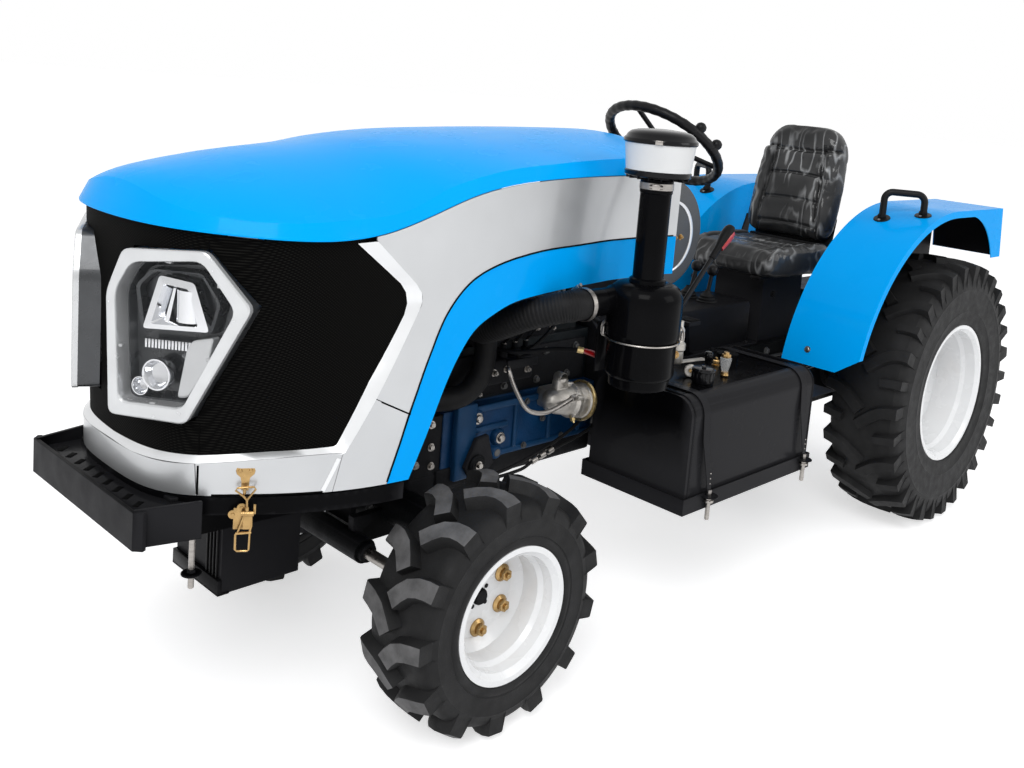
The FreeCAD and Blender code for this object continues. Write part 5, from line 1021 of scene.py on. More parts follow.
def air_cleaner():
    """Pressed canister, clamped lower cup, stack and the white pre-cleaner with its lid."""
    kit, steel, bowl, caps, clip, stalk = (Kit() for _ in range(6))
    kit.lathe([(0, 0.724), (0.066, 0.724), (0.074, 0.728), (0.078, 0.752), (0.084, 0.757),
               (0.0865, 0.764), (0.0865, 0.836), (0.0895, 0.841), (0.0895, 0.85),
               (0.0925, 0.857), (0.093, 0.863), (0.093, 0.948), (0.0915, 0.96), (0.086, 0.972),
               (0.077, 0.981), (0.064, 0.986), (0.046, 0.988), (0.0455, 0.996),
               (0.042, 0.9985), (0.0385, 1), (0.0385, 1.208), (0.0405, 1.21), (0.0405, 1.244),
               (0.036, 1.252), (0, 1.252)], CLEANER, Z, 64)
    kit.lathe([(0.04, -0.034), (0.0345, -0.022), (0.0335, 0.02), (0.0345, 0.021),
               (0.0345, 0.086)], at(1.742, 0.428, 0.938), X, 40)
    kit.block(at(1.645, 0.372, 0.85), (0.03, 0.04, 0.012), Z, X, 0.002)
    kit.block(at(1.645, 0.355, 0.8), (0.06, 0.006, 0.13), Z, X, 0.001)
    kit.done("air_cleaner_body", BLACK, soft=32, replaces=("air_cleaner",))
    steel.grid([[CLEANER + Z * (0.846 + 0.0024 * sin(t))
                 + spoke(turn) * (0.0925 + 0.0024 * cos(t)) for t in turns(8)]
                for turn in turns(48)], closed_u=True, closed_v=True)
    for turn in (radians(-47), radians(133)):
        out = spoke(turn)
        for side in (0.01, -0.01):
            steel.tube(flow([CLEANER + out * reach + Z * z + Z.cross(out) * side
                             for reach, z in ((0.094, 0.846), (0.102, 0.852), (0.101, 0.872),
                                              (0.0945, 0.882))], 5), 0.0018, 8)
        steel.block(CLEANER + out * 0.0975 + Z * 0.86, (0.004, 0.024, 0.02), Z, out, 0.001)
    steel.clamp(CLEANER + Z * 1.2265, Z, 0.0408, 0.016)
    steel.clamp(HOSE_START, X, 0.0395, 0.013)
    steel.done("air_cleaner_clamps", STEEL)
    bowl.lathe([(0, 1.2585), (0.0775, 1.2585), (0.079, 1.26), (0.0866, 1.33), (0.0868, 1.332),
                (0.06, 1.335), (0, 1.335)], CLEANER, Z, 64)
    bowl.done("pre_cleaner_bowl", WHITE_PLASTIC, replaces=("pre_cleaner",))
    caps.lathe([(0, 1.241), (0.043, 1.241), (0.05, 1.246), (0.078, 1.249), (0.0815, 1.252),
                (0.082, 1.262), (0.0795, 1.2645), (0, 1.2645)], CLEANER, Z, 56)
    caps.lathe([(0, 1.329), (0.0885, 1.329), (0.0905, 1.331), (0.0908, 1.338), (0.0885, 1.341),
                (0.086, 1.3425), (0.082, 1.35), (0.074, 1.3565), (0.058, 1.361),
                (0.03, 1.3635), (0, 1.364)], CLEANER, Z, 64)
    for turn in turns(16):
        out = spoke(turn)
        caps.block(CLEANER + out * 0.062 + Z * 1.2468, (0.03, 0.002, 0.008), Z, out, 0)
    caps.done("pre_cleaner_caps", BLACK_LID, soft=40)
    for turn in (0.62, 0.62 + pi):
        out = spoke(turn)
        clip.block(CLEANER + out * 0.0912 + Z * 1.3345, (0.0022, 0.018, 0.01), Z, out, 0.0008)
        clip.block(CLEANER + out * 0.0925 + Z * 1.338, (0.003, 0.012, 0.003), Z, out, 0.0006)
    clip.done("pre_cleaner_clips", STEEL)
    stalk.tube(route(6, (1.56, 0.385, 1.29), (1.563, 0.39, 1.24), (1.57, 0.41, 1.12),
                     (1.574, 0.416, 1), (1.568, 0.4, 0.88), (1.56, 0.33, 0.8)), 0.0055)
    stalk.done("control_cable", CABLE)


def intake_hose():
    """Corrugated hose with a plain cuff at the clamp, and the smooth hose below it."""
    def reach(share):
        cuff = min(1.0, max(0.0, (share - 0.14) / 0.03))
        end = min(1.0, max(0.0, (0.985 - share) / 0.02))
        return 0.0365 + 0.002 * cuff * end * cos(share * tau * 30) ** 2

    kit = Kit()
    kit.tube(route(26, (1.806, 0.428, 0.938), (1.85, 0.428, 0.938), (1.884, 0.404, 0.93),
                   (1.922, 0.345, 0.906), (1.942, 0.28, 0.872), (1.938, 0.215, 0.846),
                   (1.905, 0.15, 0.836), (1.87, 0.08, 0.836)), reach, 28)
    kit.tube(route(12, (1.88, 0.11, 0.88), (1.888, 0.165, 0.825), (1.892, 0.178, 0.765),
                   (1.912, 0.18, 0.705), (1.965, 0.178, 0.668), (2.04, 0.16, 0.664),
                   (2.11, 0.12, 0.672)), 0.028, 20)
    kit.done("intake_hose_ribbed", HOSE, soft=60, replaces=("intake_hose",))


air_cleaner()
intake_hose()


# ------------------------------------------------------------------ fuel tank

def tank_strap(strap, stud, high_x, low_x):
    """A strap that narrows and leans to the stud's hook below, with its washer and nuts."""
    line = [(0.5565, 0.408), (0.5535, 0.47), (0.548, 0.56)]
    line += arc((0.488, 0.624), 0.0545, 6, 90, 8) + [(0.38, 0.6785)]
    line += arc((0.257, 0.624), 0.0545, 90, 174, 6) + [(0.2025, 0.52), (0.2025, 0.42)]
    rows = []
    for i, (y, z) in enumerate(line):
        along = Vector(line[min(i + 1, len(line) - 1)]) - Vector(line[max(i - 1, 0)])
        along.normalize()
        out = Vector((0, along.y, -along.x))
        if out.z < 0 and out.y < 0:
            out = -out
        share = min(1.0, max(0.0, (z - 0.41) / 0.15)) if y > 0.4 else 1.0
        spot = at(low_x + (high_x - low_x) * share, y, z)
        half = X * (0.0075 + 0.0065 * share)
        rows.append([spot - half, spot + half, spot + half + out * 0.002,
                     spot - half + out * 0.002])
    strap.grid(rows, closed_v=True, caps=True)
    foot = at(low_x, 0.5575, 0.404)
    strap.lathe([(0, 0), (0.0245, 0), (0.025, 0.001), (0.0245, 0.0028), (0, 0.0028)], foot, Z, 30)
    for z in (0.438, 0.452, 0.466):
        stud.lathe([(0.0022, 0), (0.0018, 0.0012), (0, 0.0014)], at(low_x, 0.5562, z), Y, 10)
    stud.lathe([(0, -0.066), (0.0056, -0.065), (0.0064, -0.061), (0.0064, 0.018), (0, 0.018)],
               foot, Z, 16)
    stud.lathe([(0, -0.016), (0.0125, -0.016), (0.0135, -0.0145), (0.0135, -0.0115),
                (0.0125, -0.01), (0.0064, -0.01)], foot, Z, 24)
    stud.nut(foot - Z * 0.001, -Z, 0.015, 0.009)


def tank_details():
    """Two straps on studs, end seams, filler cap, tap, filter and pipe unions."""
    strap, stud, seam = Kit(), Kit(), Kit()
    tank_strap(strap, stud, 1.424, 1.398)
    tank_strap(strap, stud, 0.938, 0.915)
    strap.done("tank_straps", BLACK, soft=30)
    stud.done("tank_strap_studs", STEEL)
    for x in (0.88, 1.472):
        rim = ([(0.54, 0.404), (0.54, 0.624)] + arc((0.488, 0.624), 0.052, 0, 90, 10)
               + arc((0.257, 0.624), 0.052, 90, 180, 10) + [(0.205, 0.404)])
        seam.tube([at(x, y, z) for y, z in rim], 0.003, 8)
    seam.done("tank_seams", BLACK, soft=60)
    cap = Kit()
    spot = at(1.33, 0.452, TANK_TOP)
    cap.lathe([(0.027, -0.002), (0.0275, 0.002), (0.03, 0.004), (0.0305, 0.008),
               (0.0305, 0.034), (0.033, 0.036), (0.033, 0.04), (0.03, 0.044), (0.02, 0.0455),
               (0, 0.0455)], spot, Z, 48)
    for turn in turns(14):
        out = spoke(turn)
        cap.block(spot + out * 0.0306 + Z * 0.021, (0.003, 0.006, 0.024), Z, out, 0.001)
    cap.block(spot + Z * 0.0475, (0.034, 0.012, 0.005), Z, (0.8, 0.6, 0), 0.002)
    knob = at(1.222, 0.39, TANK_TOP)
    cap.lathe([(0.015, 0), (0.015, 0.014), (0.009, 0.018), (0.009, 0.034), (0.0115, 0.038),
               (0.013, 0.052), (0.0105, 0.06), (0, 0.062)], knob, Z, 28)
    cap.block(knob + Z * 0.05, (0.044, 0.015, 0.015), Z, (0.7, 0.7, 0), 0.005)
    cap.done("tank_filler_cap", BLACK_LID)
    alloy, brass, glass_jar = Kit(), Kit(), Kit()
    disc = at(1.312, 0.396, TANK_TOP + 0.018)
    way = Vector((0.8, 0.55, 0.22)).normalized()
    alloy.lathe([(0, -0.01), (0.0165, -0.01), (0.0185, -0.006), (0.0185, 0.003),
                 (0.016, 0.006), (0.006, 0.006), (0.0055, 0.003), (0, 0.003)], disc, way, 32)
    alloy.block(at(1.245, 0.35, TANK_TOP + 0.028), (0.1, 0.024, 0.003), Z, (1, -0.2, 0), 0.001)
    body = at(1.352, 0.372, TANK_TOP)
    alloy.lathe([(0, 0.04), (0.015, 0.04), (0.0185, 0.046), (0.0185, 0.076), (0.0225, 0.08),
                 (0.0225, 0.096), (0.0165, 0.102), (0.0165, 0.136), (0.012, 0.144),
                 (0.012, 0.16), (0, 0.162)], body, Z, 28)
    alloy.done("fuel_tap_castings", ALLOY)
    jar = at(1.212, 0.442, TANK_TOP)
    brass.lathe([(0, 0), (0.011, 0), (0.0125, 0.004), (0.0105, 0.01), (0.0105, 0.013),
                 (0, 0.013)], jar, Z, 24)
    brass.nut(jar + Z * 0.053, Z, 0.023, 0.011, washer=False)
    brass.lathe([(0, 0.064), (0.0085, 0.064), (0.008, 0.07), (0, 0.071)], jar, Z, 20)
    brass.nut(at(1.133, 0.357, TANK_TOP), Z, 0.016, 0.014, stud=0.008)
    for x, z in ((0.02, 0.069), (0.024, 0.107)):
        brass.nut(body + Vector((x, 0.01, z)), (0.8, 0.6, 0), 0.014, 0.01, stud=0.006)
    brass.nut(disc + way * 0.003, way, 0.009, 0.005, washer=False)
    brass.done("fuel_fittings", BRASS)
    glass_jar.lathe([(0, 0.012), (0.0085, 0.012), (0.0095, 0.014), (0.0165, 0.044),
                     (0.017, 0.052), (0.014, 0.055), (0, 0.055)], jar, Z, 28)
    glass_jar.done("fuel_filter_jar", JAR_GLASS)


tank_details()


# ------------------------------------------------------------------ engine bay

def engine_bay():
    """Blue crankcase trim, black upper engine, alloy casting, pipes, hoses and lines."""
    bolts, blue, black, alloy, steel, hose, gold = (Kit() for _ in range(7))
    for way in (1, -1):
        out = Y * way

        def on(x, y, z):
            return at(x, way * y, z)

        for x, y, z, size, soft in (
                (1.675, 0.15, 0.611, (0.48, 0.014, 0.018), 0.004),
                (1.675, 0.1495, 0.479, (0.48, 0.012, 0.016), 0.004),
                (1.49, 0.151, 0.546, (0.014, 0.01, 0.12), 0.003),
                (1.61, 0.151, 0.546, (0.014, 0.01, 0.12), 0.003),
                (1.74, 0.151, 0.546, (0.014, 0.01, 0.12), 0.003),
                (1.926, 0.159, 0.537, (0.066, 0.02, 0.196), 0.004)):
            blue.block(on(x, y, z), size, soft=soft)
        blue.block(on(1.845, 0.152, 0.556), (0.15, 0.012, 0.016), hint=(0.78, 0, 0.62),
                   soft=0.003)
        for x, z, r in ((1.886, 0.592, 0.021), (1.802, 0.525, 0.021), (1.808, 0.485, 0.018)):
            blue.lathe([(r + 0.003, 0), (r, 0.01), (r - 0.003, 0.014), (0, 0.014)],
                       on(x, 0.149, z), out, 28)
        for x, z in ((1.886, 0.592), (1.802, 0.525)):
            steel.lathe([(0.015, 0), (0.015, 0.003), (0.011, 0.0035), (0.0105, 0.0095),
                         (0.0075, 0.012), (0, 0.0125)], on(x, 0.1625, z), out, 28)
        bolts.lathe([(0.01, 0), (0.01, 0.0022), (0, 0.0022)], on(1.808, 0.162, 0.485), out, 20)
        for x, z in ((1.706, 0.484), (1.56, 0.484), (1.706, 0.606), (1.56, 0.606), (1.64, 0.548)):
            bolts.nut(on(x, 0.156, z), out, 0.012, 0.006)
        for x, z in ((2.024, 0.596), (2.022, 0.538), (2.068, 0.5), (2.019, 0.489)):
            steel.nut(on(x, 0.147, z), out, 0.013, 0.007)
        near = 0.184 if way == 1 else -0.168
        black.plate([(x + RX, z) for x, z in ((1.862, 0.55), (1.9, 0.545), (1.935, 0.475),
                                              (1.915, 0.446), (1.87, 0.446), (1.838, 0.47))],
                    (0, near, 0), X, Z, 0.016, 0.002)
        black.lathe([(0.026, 0), (0.026, 0.008), (0.02, 0.012), (0, 0.012)],
                    on(1.9, 0.183, 0.48), out, 28)
        steel.nut(on(1.9, 0.1945, 0.48), out, 0.014, 0.008)
        for x, y, z, size, soft in (
                (2.03, 0.136, 0.54, (0.11, 0.022, 0.15), 0.003),
                (1.96, 0.13, 0.43, (0.25, 0.036, 0.072), 0.006),
                (1.72, 0.138, 0.448, (0.57, 0.034, 0.054), 0.008),
                (1.71, 0.1225, 0.69, (0.5, 0.012, 0.116), 0.004),
                (1.7, 0.1, 0.93, (0.48, 0.014, 0.036), 0.006),
                (2.255, 0.204, 0.85, (0.078, 0.016, 0.48), 0.003)):
            black.block(on(x, y, z), size, soft=soft)
        for x in (1.5, 1.62, 1.74, 1.86):
            black.block(on(x, 0.102, 0.85), (0.06, 0.016, 0.1), soft=0.006)
            bolts.nut(on(x + 0.05, 0.0955, 0.89), out, 0.013, 0.016)
            bolts.nut(on(x, 0.1285, 0.728), out, 0.014, 0.008)
            bolts.nut(on(x + 0.03, 0.1285, 0.652), out, 0.014, 0.008)
    for x, y, z, size, soft in (
            (2.255, 0, 0.636, (0.08, 0.42, 0.048), 0.006),
            (2.255, 0, 1.066, (0.08, 0.42, 0.048), 0.01),
            (1.79, 0.145, 0.706, (0.17, 0.05, 0.066), 0.01),
            (1.76, 0.128, 0.8, (0.3, 0.05, 0.044), 0.01)):
        black.block(at(x, y, z), size, soft=soft)
    for x in (1.72, 1.76, 1.8, 1.84):
        black.lathe([(0, 0), (0.012, 0), (0.012, 0.018), (0.008, 0.022), (0.008, 0.036),
                     (0, 0.037)], at(x, 0.148, 0.737), Z, 18)
        steel.nut(at(x, 0.148, 0.768), Z, 0.011, 0.008, washer=False)
        hose.tube(route(6, (x, 0.148, 0.774), (x - 0.01, 0.165, 0.8), (x - 0.04, 0.16, 0.845),
                        (x - 0.05, 0.1, 0.88)), 0.0032, 8)
    for place in ((1.848, 0.1695, 0.708), (1.806, 0.1695, 0.712), (1.857, 0.125, 0.642),
                  (1.73, 0.1695, 0.702), (1.69, 0.1525, 0.806), (1.63, 0.1525, 0.8),
                  (1.85, 0.1525, 0.8)):
        steel.nut(at(*place), Y, 0.012, 0.01, stud=0.004)
    gold.nut(at(1.8, 0.14, 0.822), Z, 0.016, 0.012, stud=0.006)
    gold.nut(at(1.835, 0.14, 0.822), Z, 0.014, 0.01, stud=0.006)
    motor = at(1.598, 0.212, 0.606)
    way = Vector((1, 0, 0.16)).normalized()
    alloy.lathe([(0, -0.052), (0.04, -0.052), (0.05, -0.049), (0.05, -0.041), (0.045, -0.036),
                 (0.043, -0.01), (0.047, -0.004), (0.047, 0.006), (0.04, 0.014),
                 (0.036, 0.058), (0.028, 0.084), (0.014, 0.097), (0, 0.1)], motor, way, 40)
    alloy.block(motor + Vector((0.01, -0.04, 0.005)), (0.11, 0.06, 0.056), soft=0.012)
    eye = motor + X * 0.044
    alloy.block(eye + Z * 0.048, (0.044, 0.026, 0.044), Z, (1, 0, 0.2), 0.008)
    alloy.lathe([(0.014, -0.014), (0.016, -0.01), (0.016, 0.01), (0.014, 0.014)],
                eye + Z * 0.07, Y, 22)
    for turn in turns(5):
        side = Vector((0, cos(turn + 0.4), sin(turn + 0.4)))
        alloy.lathe([(0.007, -0.008), (0.007, 0.016), (0, 0.018)], motor + side * 0.044, way, 12)
    gold.lathe([(0.05, -0.051), (0.0555, -0.05), (0.0565, -0.045), (0.0555, -0.04),
                (0.05, -0.039)], motor, way, 44)
    gold.nut(motor + Vector((0.01, 0.022, -0.036)), (0, 0.5, -0.86), 0.013, 0.012, stud=0.006)
    pipe = route(8, (1.868, 0.238, 0.742), (1.872, 0.25, 0.732), (1.853, 0.25, 0.695),
                 (1.814, 0.25, 0.64), (1.781, 0.252, 0.616), (1.732, 0.254, 0.607),
                 (1.677, 0.254, 0.616), (1.612, 0.246, 0.63))
    steel.tube(pipe, 0.006, 14)
    steel.nut(pipe[-2], pipe[-3] - pipe[-1], 0.016, 0.014, washer=False)
    black.block(at(1.818, 0.238, 0.748), (0.106, 0.005, 0.022), hint=(1, 0, -0.16), soft=0.001)
    black.tube([at(1.8, 0.16, 0.728), at(1.796, 0.238, 0.75)], 0.009, 12)
    hose.tube(route(8, (1.405, 0.12, 0.7), (1.47, 0.185, 0.8), (1.6, 0.192, 0.85),
                    (1.72, 0.19, 0.835), (1.85, 0.175, 0.822), (1.96, 0.12, 0.8)), 0.007)
    hose.tube(route(8, (1.5, 0.09, 0.905), (1.56, 0.16, 0.88), (1.66, 0.188, 0.815),
                    (1.72, 0.185, 0.77), (1.76, 0.16, 0.74)), 0.005)
    for line in (((1.405, 0.165, 0.56), (1.484, 0.198, 0.505), (1.683, 0.2, 0.462),
                  (1.762, 0.196, 0.436), (1.89, 0.16, 0.428), (2.035, 0.11, 0.49)),
                 ((1.405, 0.15, 0.585), (1.553, 0.19, 0.512), (1.776, 0.186, 0.446),
                  (1.9, 0.15, 0.436), (2.035, 0.1, 0.5))):
        hose.tube(route(9, *line), 0.0045)
    for x, z in ((1.706, 0.455), (1.676, 0.463), (1.646, 0.47)):
        steel.tube([at(x - 0.009, 0.2, z + 0.0025), at(x + 0.009, 0.2, z - 0.0025)], 0.0085, 12)
    black.tube(route(6, (1.85, 0.14, 0.772), (1.826, 0.22, 0.772), (1.74, 0.27, 0.781),
                     (1.694, 0.328, 0.786)), 0.006)
    gold.tube([at(1.704, 0.318, 0.787), at(1.693, 0.329, 0.785)], 0.0085, 12)
    bolts.done("engine_bolts", BOLT_BLACK)
    blue.done("engine_ribs", ENGINE, soft=30)
    black.done("engine_brackets", CAST, soft=30)
    alloy.done("starter_casting", ALLOY)
    steel.done("engine_pipes", STEEL)
    hose.done("engine_hoses", HOSE, soft=60)
    gold.done("engine_fittings", ZINC)
    grip = Kit()
    grip.tube(route(5, (1.696, 0.326, 0.786), (1.655, 0.331, 0.772), (1.612, 0.332, 0.75)),
              lambda s: 0.006 + 0.002 * sin(s * pi), 12)
    grip.done("decompression_grip", RED, soft=60)


engine_bay()


# ------------------------------------------------------------------ dash, steering wheel, levers

def dash_trim():
    """Side covers with a bright crescent, their bolts, and generic round gauges and a key."""
    silver, cover, brass, drum = Kit(), Kit(), Kit(), Kit()
    drum.lathe([(0, -0.1716), (0.152, -0.1716), (0.158, -0.169), (0.163, -0.162),
                (0.163, 0.162), (0.158, 0.169), (0.152, 0.1716), (0, 0.1716)],
               at(1.175, 0, 1.035), Y, 96)
    drum.done("dash_drum", GREY_PLASTIC)
    for way in (1, -1):
        centre = at(1.168, 0.1702 * way, 1.0295)
        rows = []
        for k in range(37):
            share = k / 36
            turn = radians(82 + 184 * share)
            wide = 0.0015 + 0.0115 * sin(pi * share) ** 0.7
            arm = upright(turn)
            lift = Vector(Y * way)
            rows.append([centre + arm * 0.109, centre + arm * 0.1085 + lift * 0.003,
                         centre + arm * (0.109 - wide * 0.5) + lift * 0.0042,
                         centre + arm * (0.1085 - wide) + lift * 0.003,
                         centre + arm * (0.108 - wide)])
        silver.grid(rows, closed_v=True, caps=True)
        cover.lathe([(0.0955, 0), (0.095, 0.0016), (0.093, 0.0022), (0, 0.0024)], centre,
                    Y * way, 56)
        for x in (1.149, 1.12):
            brass.nut(at(x, 0.1722 * way, 1.026), Y * way, 0.012, 0.006, stud=0.004)
    silver.done("dash_crescents", SILVER_EDGE)
    cover.done("dash_side_covers", GREY_PLASTIC)
    brass.done("dash_bolts", BRASS)
    pod = surface_of("dash_console")
    rims, faces, key = Kit(), Kit(), Kit()
    for y, z, radius in ((0.0, 1.185, 0.046), (0.1, 1.16, 0.03), (-0.1, 1.16, 0.03)):
        hit, normal = pod.ray_cast(at(0.7, y, z + 0.02), Vector((1, 0, -0.06)))[:2]
        if not hit:
            continue
        out = normal if normal.x < 0 else -normal
        rims.lathe([(radius, -0.01), (radius, 0.006), (radius * 0.96, 0.009),
                    (radius * 0.88, 0.009), (radius * 0.85, 0.005), (radius * 0.85, -0.01)],
                   hit, out, 44)
        faces.lathe([(radius * 0.87, -0.004), (radius * 0.86, 0.0042), (radius * 0.5, 0.0052),
                     (0, 0.0056)], hit, out, 40)
    for y in (0.055, -0.055):
        hit, normal = pod.ray_cast(at(0.7, y, 1.085), Vector((1, 0, -0.04)))[:2]
        if hit:
            out = normal if normal.x < 0 else -normal
            key.lathe([(0.015, -0.01), (0.015, 0.004), (0.012, 0.008), (0.008, 0.009),
                       (0.008, 0.02), (0, 0.021)], hit, out, 26)
    rims.done("gauge_rims", CHROME)
    faces.done("gauge_faces", BLACK_LID)
    key.done("dash_switches", BLACK_PLASTIC)


WHEEL_RING = 0.19


def wheel_knobs():
    """Two ball knobs clamped to the steering wheel's rim and a finger-ribbed hub cover."""
    hub = at(1.026, 0, 1.29)
    lean = radians(37.3)
    up = Vector((-sin(lean), 0, cos(lean)))
    ahead = Vector((cos(lean), 0, sin(lean)))
    kit = Kit()
    for turn in (radians(1), radians(25)):
        out = Y * cos(turn) + ahead * sin(turn)
        spot = hub + out * WHEEL_RING
        along = out.cross(up)
        kit.lathe([(0.0142, -0.014), (0.016, -0.012), (0.016, 0.012), (0.0142, 0.014)], spot,
                  along, 24)
        kit.lathe([(0.009, 0.006), (0.015, 0.0125), (0.0172, 0.02), (0.0155, 0.028),
                   (0.01, 0.034), (0, 0.0358)], spot + out * 0.006, up, 28)
    sleeve = []
    for turn in turns(144):
        out = Y * cos(turn) + ahead * sin(turn)
        thick = 0.0156 + 0.0006 * cos(turn * 36)
        sleeve.append([hub + out * (WHEEL_RING + thick * cos(tau * j / 14))
                       + up * thick * sin(tau * j / 14) for j in range(14)])
    kit.grid(sleeve, closed_u=True, closed_v=True)
    kit.lathe([(0.044, 0.004), (0.046, 0.012), (0.043, 0.02), (0.034, 0.026), (0.032, 0.024),
               (0.014, 0.026), (0, 0.0265)], hub, up, 48)
    kit.done("steering_wheel_grips", WHEEL_BLACK, "steering_wheel", soft=40)


def lever_grips():
    """Red and black hand grip, rubber boots, the tunnel cover and ribbed pedal treads."""
    low, top = at(0.985, 0.2, 0.956), at(0.9, 0.2, 1.046)
    along = (top - low).normalized()
    length = (top - low).length
    black, red, boot = Kit(), Kit(), Kit()
    black.lathe([(0, 0), (0.0105, 0), (0.0115, length * 0.1), (0.012, length * 0.35),
                 (0.017, length * 0.6), (0.02, length * 0.82), (0.0185, length * 0.97),
                 (0.013, length * 1.06), (0, length * 1.09)], low, along, 28)
    shift = Vector((-0.6, 0.45, -0.5)).normalized() * 0.0062
    red.lathe([(0, length * 0.34), (0.011, length * 0.37), (0.016, length * 0.6),
               (0.0186, length * 0.8), (0.0165, length * 0.93), (0, length * 0.98)],
              low + shift, along, 26)
    for y in (0.04, -0.04):
        boot.lathe([(0.036, 0), (0.037, 0.005), (0.029, 0.009), (0.03, 0.014), (0.023, 0.018),
                    (0.024, 0.023), (0.017, 0.028), (0.0095, 0.038), (0.0085, 0.042)],
                   at(0.757, y, 0.764), Z, 36)
    boot.lathe([(0.026, 0), (0.027, 0.006), (0.02, 0.014), (0.021, 0.02), (0.012, 0.032),
                (0.0095, 0.036)], at(1.18, 0.146, 0.64), (0, 0.4, 1), 28)
    black.done("hand_lever_grip", BLACK_PLASTIC)
    red.done("hand_lever_stripe", RED)
    boot.done("lever_boots", HOSE)
    cover = Kit()
    cover.block(at(0.8, 0, 0.687), (0.47, 0.2, 0.158), soft=0.02)
    cover.block(at(0.8, 0, 0.614), (0.5, 0.25, 0.012), soft=0.003)
    for x in (0.6, 0.8, 1.000):
        for way in (1, -1):
            cover.nut(at(x, way * 0.113, 0.6195), Z, 0.013, 0.007)
    cover.done("tunnel_cover", FRAME_BLACK)
    pads = Kit()
    for y in (0.163, -0.163, -0.245):
        for k in range(5):
            pads.block(at(1.01 + 0.01 * k - 0.009, y, 0.7595), (0.004, 0.058, 0.005),
                       soft=0.001)
    pads.done("pedal_treads", HOSE)


dash_trim()
wheel_knobs()
lever_grips()


# ------------------------------------------------------------------ seat

def inflate(mesh, voxel, cap, floor):
    """The form remeshed evenly and swelled as cloth under pressure, moved by cap at most."""
    thing = bpy.data.objects.new("swelling", mesh)
    scene.collection.objects.link(thing)
    remesh = thing.modifiers.new("Remesh", "REMESH")
    remesh.mode = "VOXEL"
    remesh.voxel_size = voxel
    depsgraph = bpy.context.evaluated_depsgraph_get()
    even = bpy.data.meshes.new_from_object(thing.evaluated_get(depsgraph))
    bpy.data.objects.remove(thing)
    rest = [v.co.copy() for v in even.vertices]
    thing = bpy.data.objects.new("swelling", even)
    scene.collection.objects.link(thing)
    cloth = thing.modifiers.new("Cloth", "CLOTH")
    cloth.settings.quality = 4
    cloth.settings.mass = 0.4
    cloth.settings.use_pressure = True
    cloth.settings.uniform_pressure_force = 4.0
    cloth.settings.tension_stiffness = 12
    cloth.settings.compression_stiffness = 12
    cloth.settings.effector_weights.gravity = 0.0
    for frame_number in range(1, 21):
        scene.frame_set(frame_number)
        depsgraph = bpy.context.evaluated_depsgraph_get()
        blown = thing.evaluated_get(depsgraph)
    places = [v.co.copy() for v in blown.to_mesh().vertices]
    blown.to_mesh_clear()
    bpy.data.objects.remove(thing)
    for vertex, start, end in zip(even.vertices, rest, places):
        step = end - start
        if step.length > cap:
            step = step.normalized() * cap
        vertex.co = start + step
    scene.frame_set(1)
    for vertex in even.vertices:
        vertex.co = floor(vertex.co)
    return even


def stuffed(name, outline, origin, u, v, thick, cap, carve, node):
    """A stuffed form on an outline in the u-v plane, crowned and carved along u x v."""
    u, v = Vector(u).normalized(), Vector(v).normalized()
    w = u.cross(v)
    origin = Vector(origin)
    s0 = sum(p[0] for p in outline) / len(outline)
    h0 = sum(p[1] for p in outline) / len(outline)
    ring = rounded(outline, 0.045, 6)
    kit = Kit()
    rows = []
    for scale, level in ((0.9, -0.44), (0.955, -0.4), (0.985, -0.2), (0.985, 0.16),
                         (0.955, 0.34), (0.88, 0.42), (0.55, 0.46)):
        rows.append([origin + u * (s0 + (s - s0) * scale) + v * (h0 + (h - h0) * scale)
                     + w * level * thick for s, h in ring])
    kit.grid(rows, closed_v=True, caps=True)
    bmesh.ops.recalc_face_normals(kit.bm, faces=kit.bm.faces)
    bmesh.ops.triangulate(kit.bm, faces=kit.bm.faces)
    mesh = bpy.data.meshes.new(name + "_start")
    kit.bm.to_mesh(mesh)
    kit.bm.free()

    def floor(p):
        deep = (p - origin).dot(w)
        return p + w * (max(deep, -thick * 0.5) - deep)
    even = inflate(mesh, 0.0085, cap, floor)
    bm = bmesh.new()
    bm.from_mesh(even)
    bmesh.ops.subdivide_edges(bm, edges=bm.edges, cuts=1, use_grid_fill=True)
    for _ in range(3):
        bmesh.ops.smooth_vert(bm, verts=bm.verts, factor=0.5, use_axis_x=True, use_axis_y=True,
                              use_axis_z=True)
    bm.normal_update()
    for vertex in bm.verts:
        facing = vertex.normal.dot(w)
        if facing > 0.1:
            local = vertex.co - origin
            depth = carve(local.dot(u), local.dot(v)) * min(1.0, facing * 1.6)
            vertex.co += w * depth
    final = bpy.data.meshes.new(name)
    bm.to_mesh(final)
    bm.free()
    final.materials.append(VINYL)
    final.shade_smooth()
    thing = bpy.data.objects.new(name, final)
    scene.collection.objects.link(thing)
    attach(thing, "chassis")
    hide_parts(node)
    return thing


def groove(distance, width=0.0055):
    """Depth share of a sewn channel at a distance from its line, with puffed sides."""
    puff = exp(-((abs(distance) - 0.02) / 0.014) ** 2)
    return exp(-(distance / width) ** 2) - 0.25 * puff


def back_relief(s, h):
    """Header roll, side bolsters and three sewn panels of the backrest."""
    deep = 0.0
    inner = 0.128 - 0.035 * max(0.0, h) / 0.44
    if h < 0.335:
        bolster = max(0.0, min(1.0, (abs(s) - inner) / 0.03))
        deep += 0.016 * sin(bolster * pi / 2)
        deep -= 0.011 * groove(abs(s) - inner)
        if abs(s) < inner:
            for line in (0.048, 0.14, 0.235):
                deep -= 0.008 * groove(h - line - 0.006 * cos(s * 14), 0.005)
            deep += 0.004 * cos(s / inner * pi / 2)
    deep -= 0.013 * groove(h - 0.338 + 0.01 * cos(s * 9), 0.0065)
    if h > 0.345:
        deep += 0.012 * sin(min(1.0, (h - 0.345) / 0.045) * pi / 2)
    return deep


